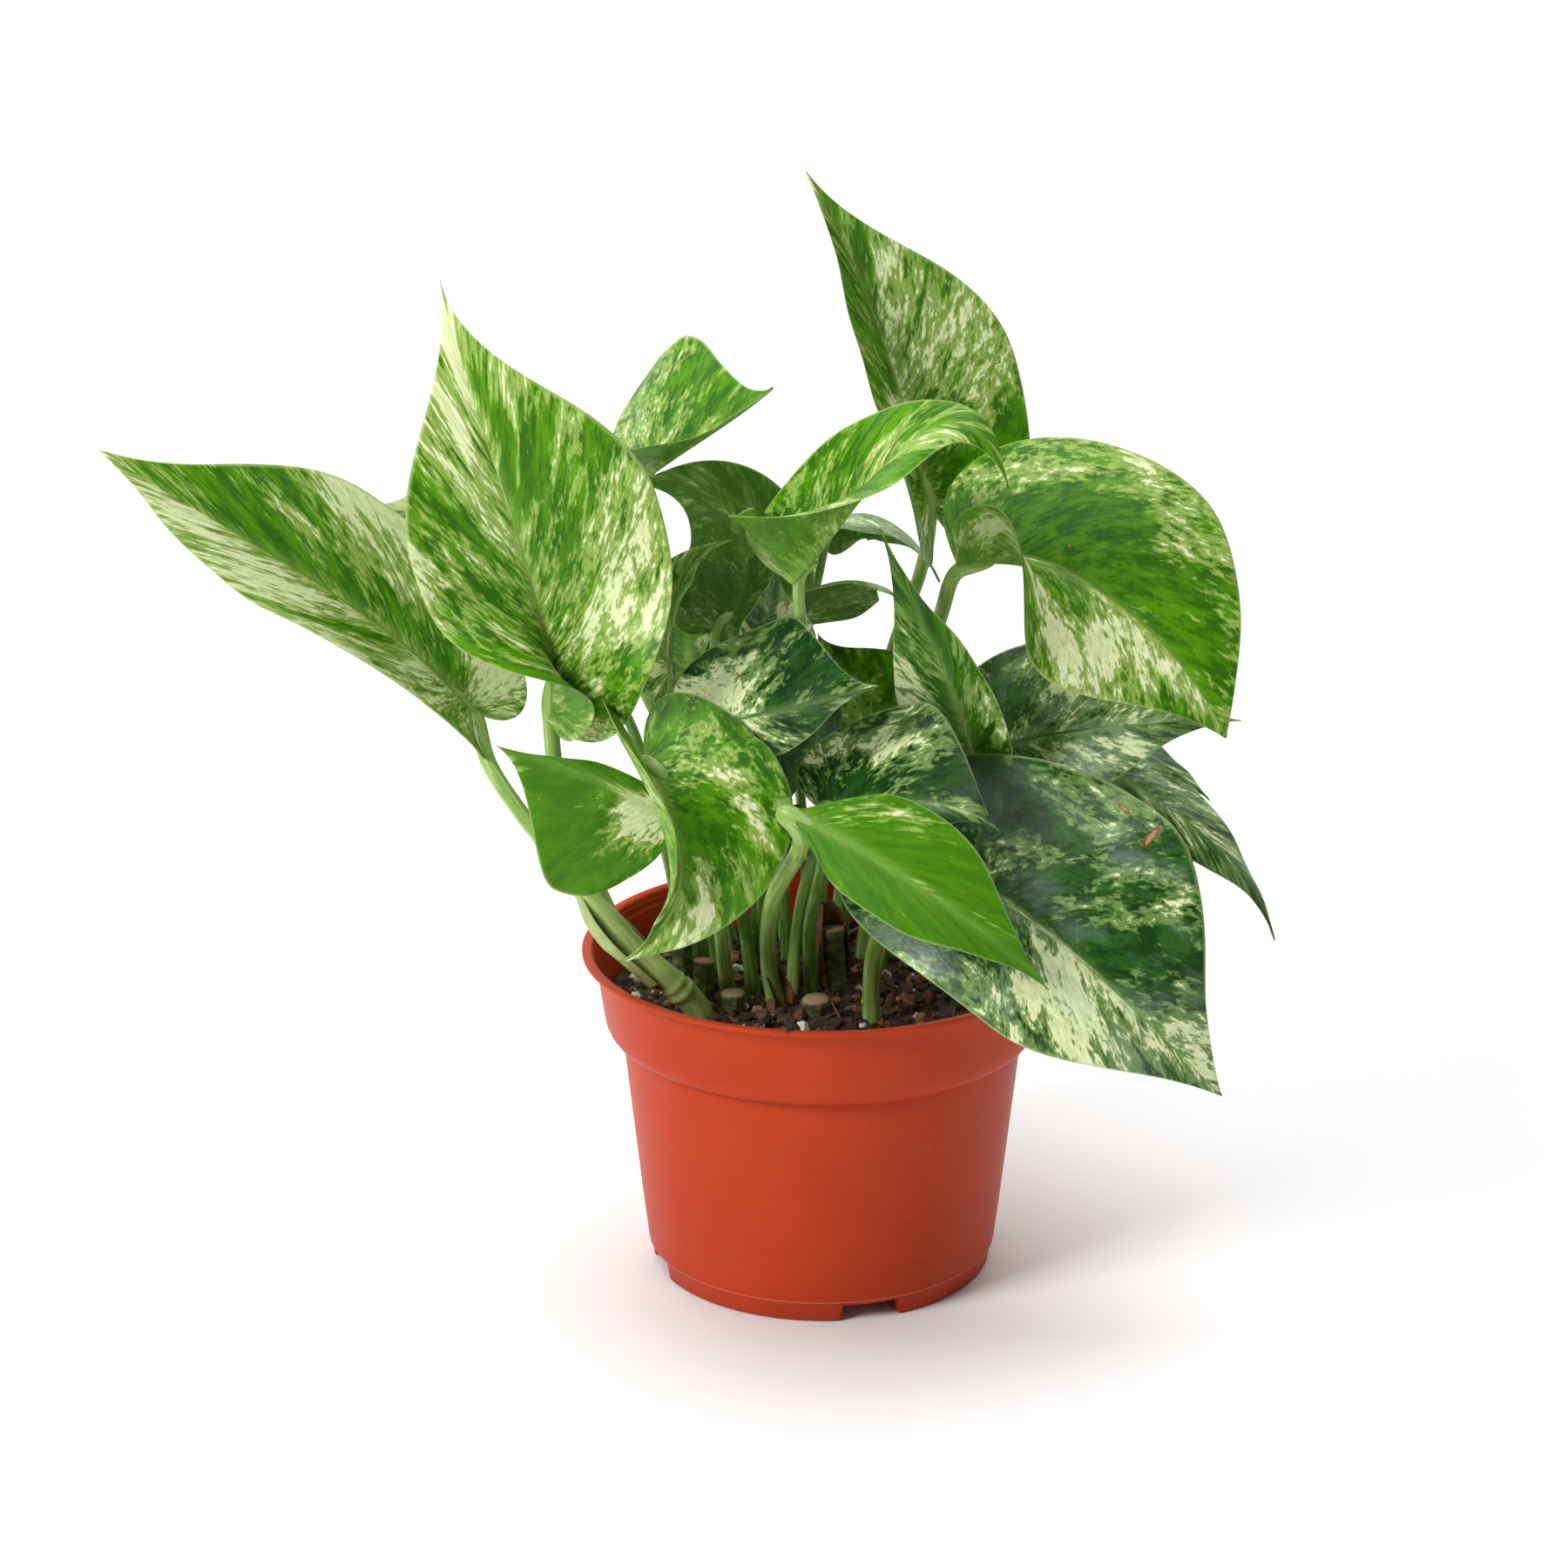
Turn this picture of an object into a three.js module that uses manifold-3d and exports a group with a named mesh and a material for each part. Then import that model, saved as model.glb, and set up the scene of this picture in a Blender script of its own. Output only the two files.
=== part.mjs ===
// A potted pothos (marble-queen type) in a four-inch plastic nursery pot.
// Millimetres, +Z up, front of the plant towards -Y, standing on z = 0.
import * as THREE from "three";
import { mergeVertices } from "three/addons/utils/BufferGeometryUtils.js";
import Module from "manifold-3d";

// Driving dimensions.
const POT_HEIGHT = 75; // floor it stands on to the top of the rim
const RIM_RADIUS = 54; // outside of the rim flange
const FOOT_RADIUS = 38.3; // outside of the foot ring
const POT_WALL = 1.3;
const FOOT_HEIGHT = 4.6; // the pot's floor stands this far above the table
const NOTCH_WIDTH = 13; // drain notches through the foot ring
const BAND_HEIGHT = 19.8; // the wider band below the rim
const SOIL_DROP = 12.5; // rim to soil
const ROOT_DEPTH = 5; // how deep a stalk is set in the soil
const BLADE_THICKNESS = 0.8;
const COLLAR_REACH = 0.24; // how far up the rib a half stays folded at its base
const STALK_SCALE = 1; // thickness of every stalk against the measured one
const PLANT_SPREAD = RIM_RADIUS / 54; // the plant is measured for a pot with a 54 mm rim
const FIT_GAP = 0.35; // between pieces that touch on the real plant

// Each leaf, in millimetres: x right, y back, z up from the middle of the rim.
// rib: four points on the midrib, from the stalk to the tip. face: the way the upper side looks at
// the base. wide: half-widths left and right of the rib. fold, curl: degrees that each half rises
// from the rib and then rolls on to its margin, as left, right at the base and left, right at the
// tip. shape: depth of the basal lobes, place of the widest point and fullness of the tip, as
// shares of the length. collar: degrees that each half is folded further up at its base.
// radius: the stalk's. stalk: its way up to the blade; where the first point has no height the
// stalk is planted in the soil, otherwise it springs from the vine.
const LEAVES = {
  far_left: {
    rib: [[-76, -8, 57], [-99, -16, 82], [-126, -24, 103], [-152, -30, 122]],
    face: [0.25, -0.85, 0.45], wide: [20, 27], fold: [22, 10, 25, 8], curl: [85, -10, 35, 10],
    shape: [0.1, 0.38, 0.22], collar: [0, 0], radius: 1.9,
    stalk: [[-51, -19, 17], [-56, -19, 24], [-66, -17, 37], [-73, -13, 47]],
  },
  tall_left: {
    rib: [[-59, -20, 59], [-62, -24, 91], [-72, -24, 125], [-81, -14, 155]],
    face: [0.05, -0.97, 0.2], wide: [24, 31], fold: [18, 8, 12, 6], curl: [40, -12, 0, 0],
    shape: [0.02, 0.44, 0.02], collar: [95, 35], radius: 1.9,
    stalk: [[-47, -10, 12], [-54, -8, 27], [-58, -16, 45]],
  },
  peek_left: {
    rib: [[-75, 24, 83], [-82, 22, 92], [-92, 20, 95], [-100, 16, 98]],
    face: [0, -0.8, 0.6], wide: [14, 12], fold: [5, 5, 5, 5], curl: [0, 0, 0, 0],
    shape: [0.14, 0.3, 0.1], collar: [0, 0], radius: 1.3,
    stalk: [[-29, 22], [-41, 26, 36], [-50, 27, 53], [-66, 28, 72]],
  },
  back_top: {
    rib: [[-41, 32, 99], [-33, 20, 108], [-22, 8, 118], [-11, -4, 129]],
    face: [-0.5, -0.5, 0.7], wide: [30, 18], fold: [25, 65, 10, 20], curl: [-20, 60, 10, 30],
    shape: [0.34, 0.25, 0.1], collar: [0, 0], radius: 1.4,
    stalk: [[-19, 30], [-34, 34, 33], [-42, 36, 53], [-44, 38, 79]],
  },
  back_arch: {
    rib: [[-24, 18, 68], [-18, 24, 81], [-24, 26, 96], [-43, 20, 101]],
    face: [0.45, 0.75, 0.45], wide: [17, 24], fold: [-8, -8, -8, -8], curl: [-20, -20, -20, -20],
    shape: [0.14, 0.3, 0.1], collar: [0, 0], radius: 1.2,
    stalk: [[-16, 20], [-21, 20, 27], [-24, 18, 50]],
  },
  side_bright: {
    rib: [[-34, 0, 63], [-34, 2, 75], [-30, 4, 86], [-20, 4, 93]],
    face: [-0.6, -0.6, 0.5], wide: [9, 13], fold: [30, 30, 30, 30], curl: [0, 30, 0, 30],
    shape: [0.14, 0.3, 0.1], collar: [0, 0], radius: 1.2,
    stalk: [[-23, 18], [-29, 8, 23], [-34, 0, 46]],
  },
  back_dark: {
    rib: [[-15, 34, 64], [-14, 34, 74], [-16, 36, 85], [-19, 38, 93]],
    face: [0.2, -0.9, 0.2], wide: [9, 9], fold: [20, 20, 20, 20], curl: [0, 0, 0, 0],
    shape: [0.14, 0.3, 0.1], collar: [0, 0], radius: 1.1,
    stalk: [[-12, 28], [-13, 33, 27]],
  },
  arch: {
    rib: [[-6, -15, 89], [4, -25, 106], [22, -37, 128], [38, -40, 116]],
    face: [-0.45, -0.35, 0.8], wide: [19, 22], fold: [62, 96, 25, -30], curl: [0, 15, -10, 0],
    shape: [0.14, 0.3, 0.1], collar: [0, 0], radius: 1.4,
    stalk: [[-3, 18], [0, 7, 11], [0, -4, 39], [-3, -7, 62]],
  },
  tall_right: {
    rib: [[24, 14, 97], [17, 17, 123], [8, 14, 148], [-4, 6, 174]],
    face: [0.25, -0.92, 0.25], wide: [17, 27], fold: [32, 8, 40, 8], curl: [70, -15, 10, 0],
    shape: [0.14, 0.3, 0.1], collar: [0, 0], radius: 1.6,
    stalk: [[2, 21], [8, 29, 28], [16, 29, 60], [22, 19, 82]],
  },
  big_right: {
    rib: [[29, -8, 90], [50, -10, 90], [71, -16, 77], [87, -20, 55]],
    face: [-0.05, -0.6, 0.8], wide: [37, 27], fold: [14, 40, 10, -10], curl: [-40, 10, -10, -10],
    shape: [0, 0.38, 0.45], collar: [0, 60], radius: 1.8,
    stalk: [[9, 25], [16, 25, 29], [22, 27, 51], [26, 2, 77]],
  },
  back_drape: {
    rib: [[1, 48, 82], [9, 45, 88], [19, 43, 84], [27, 40, 73]],
    face: [0.1, 0.5, 0.85], wide: [8, 18], fold: [0, -45, 0, -45], curl: [0, 0, 0, 0],
    shape: [0.14, 0.3, 0.1], collar: [0, 0], radius: 1.2,
    stalk: [[-9, 36], [-7, 46, 33]],
  },
  mid_flat: {
    rib: [[-6, 17, 71], [1, 13, 79], [9, 9, 82], [18, 6, 78]],
    face: [0, 0.55, 0.8], wide: [14, 15], fold: [10, -20, 10, -20], curl: [0, -20, 0, -20],
    shape: [0.05, 0.3, 0.1], collar: [0, 0], radius: 1.1,
    stalk: [[-8, 24], [-9, 20, 31], [-9, 11, 59]],
  },
  sword: {
    rib: [[34, -4, 42], [28, -10, 63], [19, -12, 84], [12, -9, 99]],
    face: [-0.45, -0.85, 0.2], wide: [13, 11], fold: [20, 10, 10, 10], curl: [130, -20, 20, 0],
    shape: [0.14, 0.3, 0.1], collar: [0, 0], radius: 1.4,
    stalk: [[9, -5], [18, -2, 16], [30, -5, 29]],
  },
  dark_right: {
    rib: [[35, 7, 42], [53, 1, 49], [73, -3, 53], [92, -4, 54]],
    face: [0, -0.62, 0.78], wide: [26, 17], fold: [10, -40, 5, -10], curl: [-20, -10, 0, 0],
    shape: [0.12, 0.22, 0.1], collar: [0, 0], radius: 1.5,
    stalk: [[11, 14], [21, 12, 16], [31, 10, 33]],
  },
  sliver_upper: {
    rib: [[59, 34, 35], [69, 32, 35], [79, 30, 32], [89, 26, 25]],
    face: [0, -0.2, 1], wide: [8, 9], fold: [10, -50, 10, -50], curl: [0, 0, 0, 0],
    shape: [0.14, 0.3, 0.1], collar: [0, 0], radius: 1.2,
    stalk: [[14, 24], [30, 33, 13], [50, 37, 31]],
  },
  sliver_right: {
    rib: [[62, 14, 39], [77, 12, 29], [92, 8, 17], [102, 2, 0]],
    face: [0.5, -0.3, 0.8], wide: [14, 9], fold: [0, -30, 0, -30], curl: [0, 0, 0, 0],
    shape: [0.14, 0.3, 0.1], collar: [0, 0], radius: 1.2,
    stalk: [[17, 16], [34, 19, 14], [55, 19, 33]],
  },
  big_low: {
    rib: [[28, -40, 30], [48, -52, 21], [67, -57, 5], [85, -55, -14]],
    face: [0.25, -0.8, 0.55], wide: [38, 23], fold: [4, -4, 4, -4], curl: [-12, -20, -12, -20],
    shape: [0.3, 0.34, 0.3], collar: [0, 0], radius: 1.9,
    stalk: [[11, -14], [11, -19, 4], [16, -26, 19]],
  },
  spear_low: {
    rib: [[-8, -54, 50], [10, -60, 42], [29, -65, 30], [47, -64, 14]],
    face: [0.1, -0.75, 0.65], wide: [20, 12], fold: [16, 8, 16, 8], curl: [-10, 10, -10, 10],
    shape: [-0.1, 0.42, 0.1], collar: [0, 0], radius: 2,
    stalk: [[-9, -4], [-12, -10, -1], [-11, -26, 20], [-5, -51, 42]],
  },
  dark_centre: {
    rib: [[-1, -34, 44], [11, -40, 47], [24, -46, 49], [37, -50, 44]],
    face: [-0.05, -0.6, 0.8], wide: [28, 10], fold: [10, -50, 0, -20], curl: [-30, 0, 0, 0],
    shape: [0.18, 0.35, 0.1], collar: [0, 0], radius: 1.5,
    stalk: [[-2, 1], [-3, -6, 5], [0, -20, 28]],
  },
  cream_dark: {
    rib: [[-23, -27, 60], [-12, -31, 64], [0, -36, 69], [12, -39, 73]],
    face: [-0.05, -0.6, 0.8], wide: [26, 9], fold: [10, -50, 0, -20], curl: [-30, 0, 0, 0],
    shape: [0.25, 0.3, 0.1], collar: [0, 0], radius: 1.6,
    stalk: [[-15, 3], [-17, 0, 1], [-19, -8, 19], [-20, -20, 45]],
  },
  behind_mid: {
    rib: [[11, 6, 46], [8, 10, 54], [3, 14, 61], [-1, 16, 68]],
    face: [0.2, -0.9, 0.3], wide: [14, 17], fold: [0, 0, 0, 0], curl: [0, -20, 0, -20],
    shape: [0.14, 0.3, 0.1], collar: [0, 0], radius: 1.4,
    stalk: [[-7, 0], [-6, 5, -1], [-3, 6, 15], [5, 10, 35]],
  },
  front_round: {
    rib: [[-38, -43, 58], [-32, -53, 47], [-31, -57, 32], [-43, -59, 18]],
    face: [0.1, -0.9, 0.4], wide: [27, 11], fold: [-4, 40, -4, 40], curl: [-25, 60, 0, 100],
    shape: [0.3, 0.3, 0.1], collar: [0, 0], radius: 1.6,
    stalk: [[-21, 6], [-23, -24, 16], [-26, -40, 40], [-34, -46, 55]],
  },
  front_bright: {
    rib: [[-32, -29, 39], [-44, -31, 47], [-57, -33, 53], [-70, -34, 58]],
    face: [-0.2, -0.9, 0.3], wide: [26, 4], fold: [0, 0, 0, 0], curl: [0, 0, 0, 0],
    shape: [0.05, 0.4, 0.1], collar: [0, 0], radius: 1.5,
    stalk: [[-26, 16], [-28, 0, 7], [-30, -20, 24]],
  },
  marbled_low: {
    rib: [[-9, 7, 29], [-11, 5, 23], [-13, 3, 16], [-15, 1, 10]],
    face: [-0.1, -0.9, 0.3], wide: [9, 8], fold: [0, 0, 0, 0], curl: [-20, -20, -20, -20],
    shape: [0.14, 0.3, 0.1], collar: [0, 0], radius: 1.1,
    stalk: [[-15, 24], [-13, 20, 10], [-9, 14, 23]],
  },
  narrow_mid: {
    rib: [[0, -12, 58], [-3, -12, 50], [-6, -12, 43], [-8, -14, 37]],
    face: [-0.3, -0.9, 0.2], wide: [5, 12], fold: [0, 0, 0, 0], curl: [0, 0, 0, 0],
    shape: [0.14, 0.3, 0.1], collar: [0, 0], radius: 1.1,
    stalk: [[4, 16], [6, 7, 18], [4, -9, 43]],
  },
  tip_mid: {
    rib: [[-11, 0, 65], [-11, 0, 73], [-11, 0, 81], [-10, 1, 88]],
    face: [0, -0.95, 0.2], wide: [8, 10], fold: [20, 20, 20, 20], curl: [0, 0, 0, 0],
    shape: [0.14, 0.3, 0.1], collar: [0, 0], radius: 1.1,
    stalk: [[-3, 27], [-5, 18, 32]],
  },
  shade_left: {
    rib: [[-28, 25, 52], [-29, 27, 59], [-30, 29, 66], [-31, 29, 74]],
    face: [0, 0.8, 0.3], wide: [14, 14], fold: [0, 0, 0, 0], curl: [0, 0, 0, 0],
    shape: [0.14, 0.3, 0.1], collar: [0, 0], radius: 1.1,
    stalk: [[-21, 27], [-25, 30, 28]],
  },
  back_low: {
    rib: [[22, 40, 21], [20, 60, 25], [31, 78, 23], [42, 92, 11]],
    face: [0.1, 0.2, 0.97], wide: [16, 17], fold: [12, 12, 12, 12], curl: [-20, -20, -20, -20],
    shape: [0.14, 0.3, 0.1], collar: [0, 0], radius: 1.3,
    stalk: [[13, 36], [16, 42, 5]],
  },
  back_left: {
    rib: [[-23, 44, 22], [-26, 60, 22], [-33, 76, 18], [-39, 90, 9]],
    face: [-0.1, 0.2, 0.97], wide: [17, 17], fold: [12, 12, 12, 12], curl: [-20, -20, -20, -20],
    shape: [0.14, 0.3, 0.1], collar: [0, 0], radius: 1.3,
    stalk: [[-16, 36], [-15, 40, 7]],
  },
  back_middle: {
    rib: [[-6, 54, 30], [-5, 70, 34], [-4, 88, 32], [-1, 104, 21]],
    face: [0, 0.3, 0.95], wide: [15, 15], fold: [12, 12, 12, 12], curl: [-20, -20, -20, -20],
    shape: [0.14, 0.3, 0.1], collar: [0, 0], radius: 1.3,
    stalk: [[-1, 36], [-4, 46, 12]],
  },};

// The trailing vine that the two long left-hand leaves grow from, in the same measure.
const VINE = {
  path: [[-26, -13], [-28, -14, -10], [-34, -17, -2], [-41, -18, 5], [-47, -19, 13]],
  radius: 3,
  ring: [[-32.5, -16, -4.5], [-35, -17.5, -1]], // the swollen node above the soil
  ringRadius: 3.7,
};

// Stumps of the cuttings the plant was struck from: foot and cut top, and radius.
const STUMPS = {
  stump_front_left: { foot: [-20, -9], top: [-20, -9.5, -8], radius: 2.4 },
  stump_front_middle: { foot: [-1, -11], top: [-1.5, -12, -8.5], radius: 2.8 },
  stump_tall: { foot: [-31, 3], top: [-32, 4, 3], radius: 2.2 },
  stump_left: { foot: [-27, -2], top: [-26.5, -1, -3.5], radius: 2.2 },
  stump_sheathed: { foot: [3, 2], top: [2, 2.5, 3], radius: 2.6 },
};

// Heights and radii that follow from the driving dimensions.
const SOIL_TOP = POT_HEIGHT - SOIL_DROP;
const FLOOR_TOP = FOOT_HEIGHT + POT_WALL;
const BAND_BOTTOM = POT_HEIGHT - BAND_HEIGHT;
const LIP_THICKNESS = 1;
const BODY_TOP_RADIUS = RIM_RADIUS - 8.8;
const BAND_RADIUS = RIM_RADIUS - 5;
const NECK_RADIUS = RIM_RADIUS - 2.8;

const wasm = await Module();
wasm.setup();

// A three.js geometry as a manifold-3d solid, which can be joined and cut.
function solidFrom(geometry) {
  const plain = geometry.clone();
  plain.deleteAttribute("normal");
  plain.deleteAttribute("uv");
  const merged = mergeVertices(plain, 1e-4);
  const corners = merged.index.array;
  const kept = [];
  for (let i = 0; i < corners.length; i += 3) {
    const [a, b, c] = [corners[i], corners[i + 1], corners[i + 2]];
    if (a !== b && b !== c && c !== a) kept.push(a, b, c);
  }
  return new wasm.Manifold(
    new wasm.Mesh({
      numProp: 3,
      vertProperties: merged.attributes.position.array,
      triVerts: new Uint32Array(kept),
    }),
  );
}

function geometryFrom(solid) {
  const mesh = solid.getMesh();
  return new THREE.BufferGeometry()
    .setAttribute("position", new THREE.BufferAttribute(mesh.vertProperties, 3))
    .setIndex(new THREE.BufferAttribute(mesh.triVerts, 1));
}

function turned(profile, segments) {
  const points = profile.map(([radius, height]) => new THREE.Vector2(radius, height));
  return solidFrom(new THREE.LatheGeometry(points, segments).rotateX(Math.PI / 2));
}

// A measured point in the part's own frame; without a height it lies ROOT_DEPTH under the soil.
function place([x, y, z]) {
  const height = z === undefined ? SOIL_TOP - ROOT_DEPTH : POT_HEIGHT + z * PLANT_SPREAD;
  return new THREE.Vector3(x * PLANT_SPREAD, y * PLANT_SPREAD, height);
}

// A round rod along a smooth path through the given points.
function rod(points, radius, sides, steps) {
  const path = new THREE.CatmullRomCurve3(points, false, "catmullrom", 0.5);
  const ring = new THREE.Shape(
    Array.from({ length: sides }, (_, i) => {
      const turn = (2 * Math.PI * i) / sides;
      return new THREE.Vector2(radius * Math.cos(turn), radius * Math.sin(turn));
    }),
  );
  const options = { steps, extrudePath: path, bevelEnabled: false };
  return solidFrom(new THREE.ExtrudeGeometry(ring, options));
}

// The midrib: the cubic curve that passes a third and two thirds of the way through the
// second and third points.
function midrib([p0, p1, p2, p3]) {
  const weigh = (a, b, c, d) =>
    new THREE.Vector3()
      .addScaledVector(p0, a)
      .addScaledVector(p1, b)
      .addScaledVector(p2, c)
      .addScaledVector(p3, d);
  const handle1 = weigh(-5 / 6, 3, -1.5, 1 / 3);
  const handle2 = weigh(1 / 3, -1.5, 3, -5 / 6);
  return new THREE.CubicBezierCurve3(p0, handle1, handle2, p3);
}

// The direction square to the rib that the upper side faces, carried along it without twisting.
function ribNormals(rib, face, count) {
  const normal = new THREE.Vector3(...face);
  return Array.from({ length: count + 1 }, (_, i) => {
    const along = rib.getTangentAt(i / count);
    normal.addScaledVector(along, -normal.dot(along)).normalize();
    return normal.clone();
  });
}

const bezier = (t, a, b, c, d) =>
  (1 - t) ** 3 * a + 3 * (1 - t) ** 2 * t * b + 3 * (1 - t) * t * t * c + t ** 3 * d;

// Half of the heart-shaped outline, flat: q runs from the stalk (0) round the lobe to the
// tip (1); returns the place along the rib and the distance from it.
function outline(q, length, width, [lobe, belly, fullness]) {
  const lobeShare = 0.45; // the part of q that runs round the basal lobe
  const widest = belly * length;
  const rest = length - widest;
  if (q < lobeShare) {
    const t = q / lobeShare;
    const depth = lobe * length;
    return [bezier(t, 0, -1.9 * depth, -1.1 * depth, widest), bezier(t, 0, width / 4, width, width)];
  }
  const t = (q - lobeShare) / (1 - lobeShare);
  const along = bezier(t, widest, widest + 0.38 * rest, length - 0.42 * rest, length);
  return [along, bezier(t, width, width, fullness * width, 0)];
}

// The value for one half (0 left, 1 right) of a list of base and tip angles, in radians.
function blend(angles, half, share) {
  return THREE.MathUtils.degToRad(THREE.MathUtils.lerp(angles[half], angles[half + 2], share));
}

// The middle surface of a blade: q from base to tip, v from the left margin (-1) over the rib
// (0) to the right margin (1). Each half leaves the rib at its fold angle, raised by its collar
// near the stalk, and rolls through its curl angle on an arc. Returns the point and the way the
// upper side faces there.
function bladeSurface(leaf) {
  const rib = midrib(leaf.rib.map(place));
  const length = rib.getLength();
  const steps = 32;
  const normals = ribNormals(rib, leaf.face, steps);
  return (q, v) => {
    const half = v < 0 ? 0 : 1;
    const side = v < 0 ? -1 : 1;
    const width = leaf.wide[half] * PLANT_SPREAD;
    const [edgeAlong, edgeAcross] = outline(q, length, width, leaf.shape);
    const share = Math.abs(v);
    const along = q * q * length * (1 - share) + edgeAlong * share;
    const across = edgeAcross * share;
    const u = THREE.MathUtils.clamp(along / length, 0, 1);
    const tangent = rib.getTangentAt(u);
    const step = Math.min(Math.floor(u * steps), steps - 1);
    const normal = normals[step].clone().lerp(normals[step + 1], u * steps - step).normalize();
    const across3 = new THREE.Vector3().crossVectors(tangent, normal);
    const eased = 1 - (1 - u) ** 2;
    const collar = leaf.collar[half] * Math.exp(-((u / COLLAR_REACH) ** 4));
    const fold = blend(leaf.fold, half, eased) + THREE.MathUtils.degToRad(collar);
    const curl = blend(leaf.curl, half, eased);
    const bend = Math.abs(curl) < 0.001 ? 0.001 : curl;
    const radius = width / bend;
    const angle = fold + (bend * across) / width;
    const point = rib
      .getPointAt(u)
      .addScaledVector(tangent, Math.min(along, 0))
      .addScaledVector(across3, side * radius * (Math.sin(angle) - Math.sin(fold)))
      .addScaledVector(normal, radius * (Math.cos(fold) - Math.cos(angle)));
    const up = normal
      .multiplyScalar(Math.cos(angle))
      .addScaledVector(across3, -side * Math.sin(angle));
    return [point, up];
  };
}

// The blade as a closed body: a grid of points on the upper and the lower side, with one
// shared point pair at the stalk and at the tip, and a strip round the margin.
function bladeSolid(leaf) {
  const surface = bladeSurface(leaf);
  const rows = [0.12, 0.24, 0.36, 0.48, 0.61, 0.74, 0.88];
  const columns = [-1, -0.66, -0.33, 0, 0.33, 0.66, 1];
  const points = [[0, 0], ...rows.flatMap((q) => columns.map((v) => [q, v])), [1, 0]];
  const upper = [];
  const lower = [];
  for (const [q, v] of points) {
    const [point, up] = surface(q, v);
    upper.push(...point.clone().addScaledVector(up, BLADE_THICKNESS / 2));
    lower.push(...point.addScaledVector(up, -BLADE_THICKNESS / 2));
  }
  const count = points.length;
  const last = columns.length - 1;
  const at = (row, column) => 1 + row * columns.length + column;
  const faces = [];
  const bothSides = (a, b, c) => faces.push(a, b, c, a + count, c + count, b + count);
  for (let column = 0; column < last; column++) {
    bothSides(0, at(0, column + 1), at(0, column));
    for (let row = 0; row < rows.length - 1; row++) {
      bothSides(at(row, column), at(row, column + 1), at(row + 1, column));
      bothSides(at(row + 1, column), at(row, column + 1), at(row + 1, column + 1));
    }
    bothSides(count - 1, at(rows.length - 1, column), at(rows.length - 1, column + 1));
  }
  const left = [0, ...rows.keys().map((row) => at(row, 0)), count - 1];
  const right = [count - 1, ...[...rows.keys()].reverse().map((row) => at(row, last)), 0];
  const margin = [...left, ...right.slice(1)];
  for (let i = 0; i < margin.length - 1; i++) {
    const [a, b] = [margin[i], margin[i + 1]];
    faces.push(a, b, a + count, b, b + count, a + count);
  }
  const geometry = new THREE.BufferGeometry()
    .setAttribute("position", new THREE.Float32BufferAttribute([...upper, ...lower], 3))
    .setIndex(faces);
  return solidFrom(geometry);
}

// A stalk's way from its root to under the start of the midrib.
function stalkPath(leaf) {
  const rib = midrib(leaf.rib.map(place));
  const sink = 0.8 * stalkRadius(leaf);
  const [under] = ribNormals(rib, leaf.face, 1);
  const start = rib.getPointAt(0).addScaledVector(under, -sink);
  start.addScaledVector(rib.getTangentAt(0), -0.5);
  const end = rib.getPointAt(0.1).addScaledVector(ribNormals(rib, leaf.face, 10)[1], -sink);
  return [...leaf.stalk.map(place), start, end];
}

function stalkRadius(leaf) {
  return leaf.radius * PLANT_SPREAD * STALK_SCALE;
}

// The blade on its stalk. A thick stalk can shut a small pocket under the blade: filling it leaves
// the outer shell, which is the largest of the bodies.
function leafSolid(leaf) {
  const leafOnStalk = bladeSolid(leaf).add(rod(stalkPath(leaf), stalkRadius(leaf), 6, 10));
  const shells = leafOnStalk.decompose().sort((a, b) => b.volume() - a.volume());
  return shells[0];
}

function vineSolid() {
  const stem = rod(VINE.path.map(place), VINE.radius * PLANT_SPREAD, 8, 12);
  return stem.add(rod(VINE.ring.map(place), VINE.ringRadius * PLANT_SPREAD, 8, 1));
}

function stumpSolid(stump) {
  return rod([stump.foot, stump.top].map(place), stump.radius * PLANT_SPREAD, 8, 1);
}

// The inside of the pot, floor to rim, as radius and height.
const POT_INSIDE = [
  [FOOT_RADIUS + 1.2 - POT_WALL, FLOOR_TOP],
  [BODY_TOP_RADIUS - POT_WALL, BAND_BOTTOM + 0.4],
  [BAND_RADIUS - POT_WALL, BAND_BOTTOM + 4],
  [RIM_RADIUS - 2.2, POT_HEIGHT],
];

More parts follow.
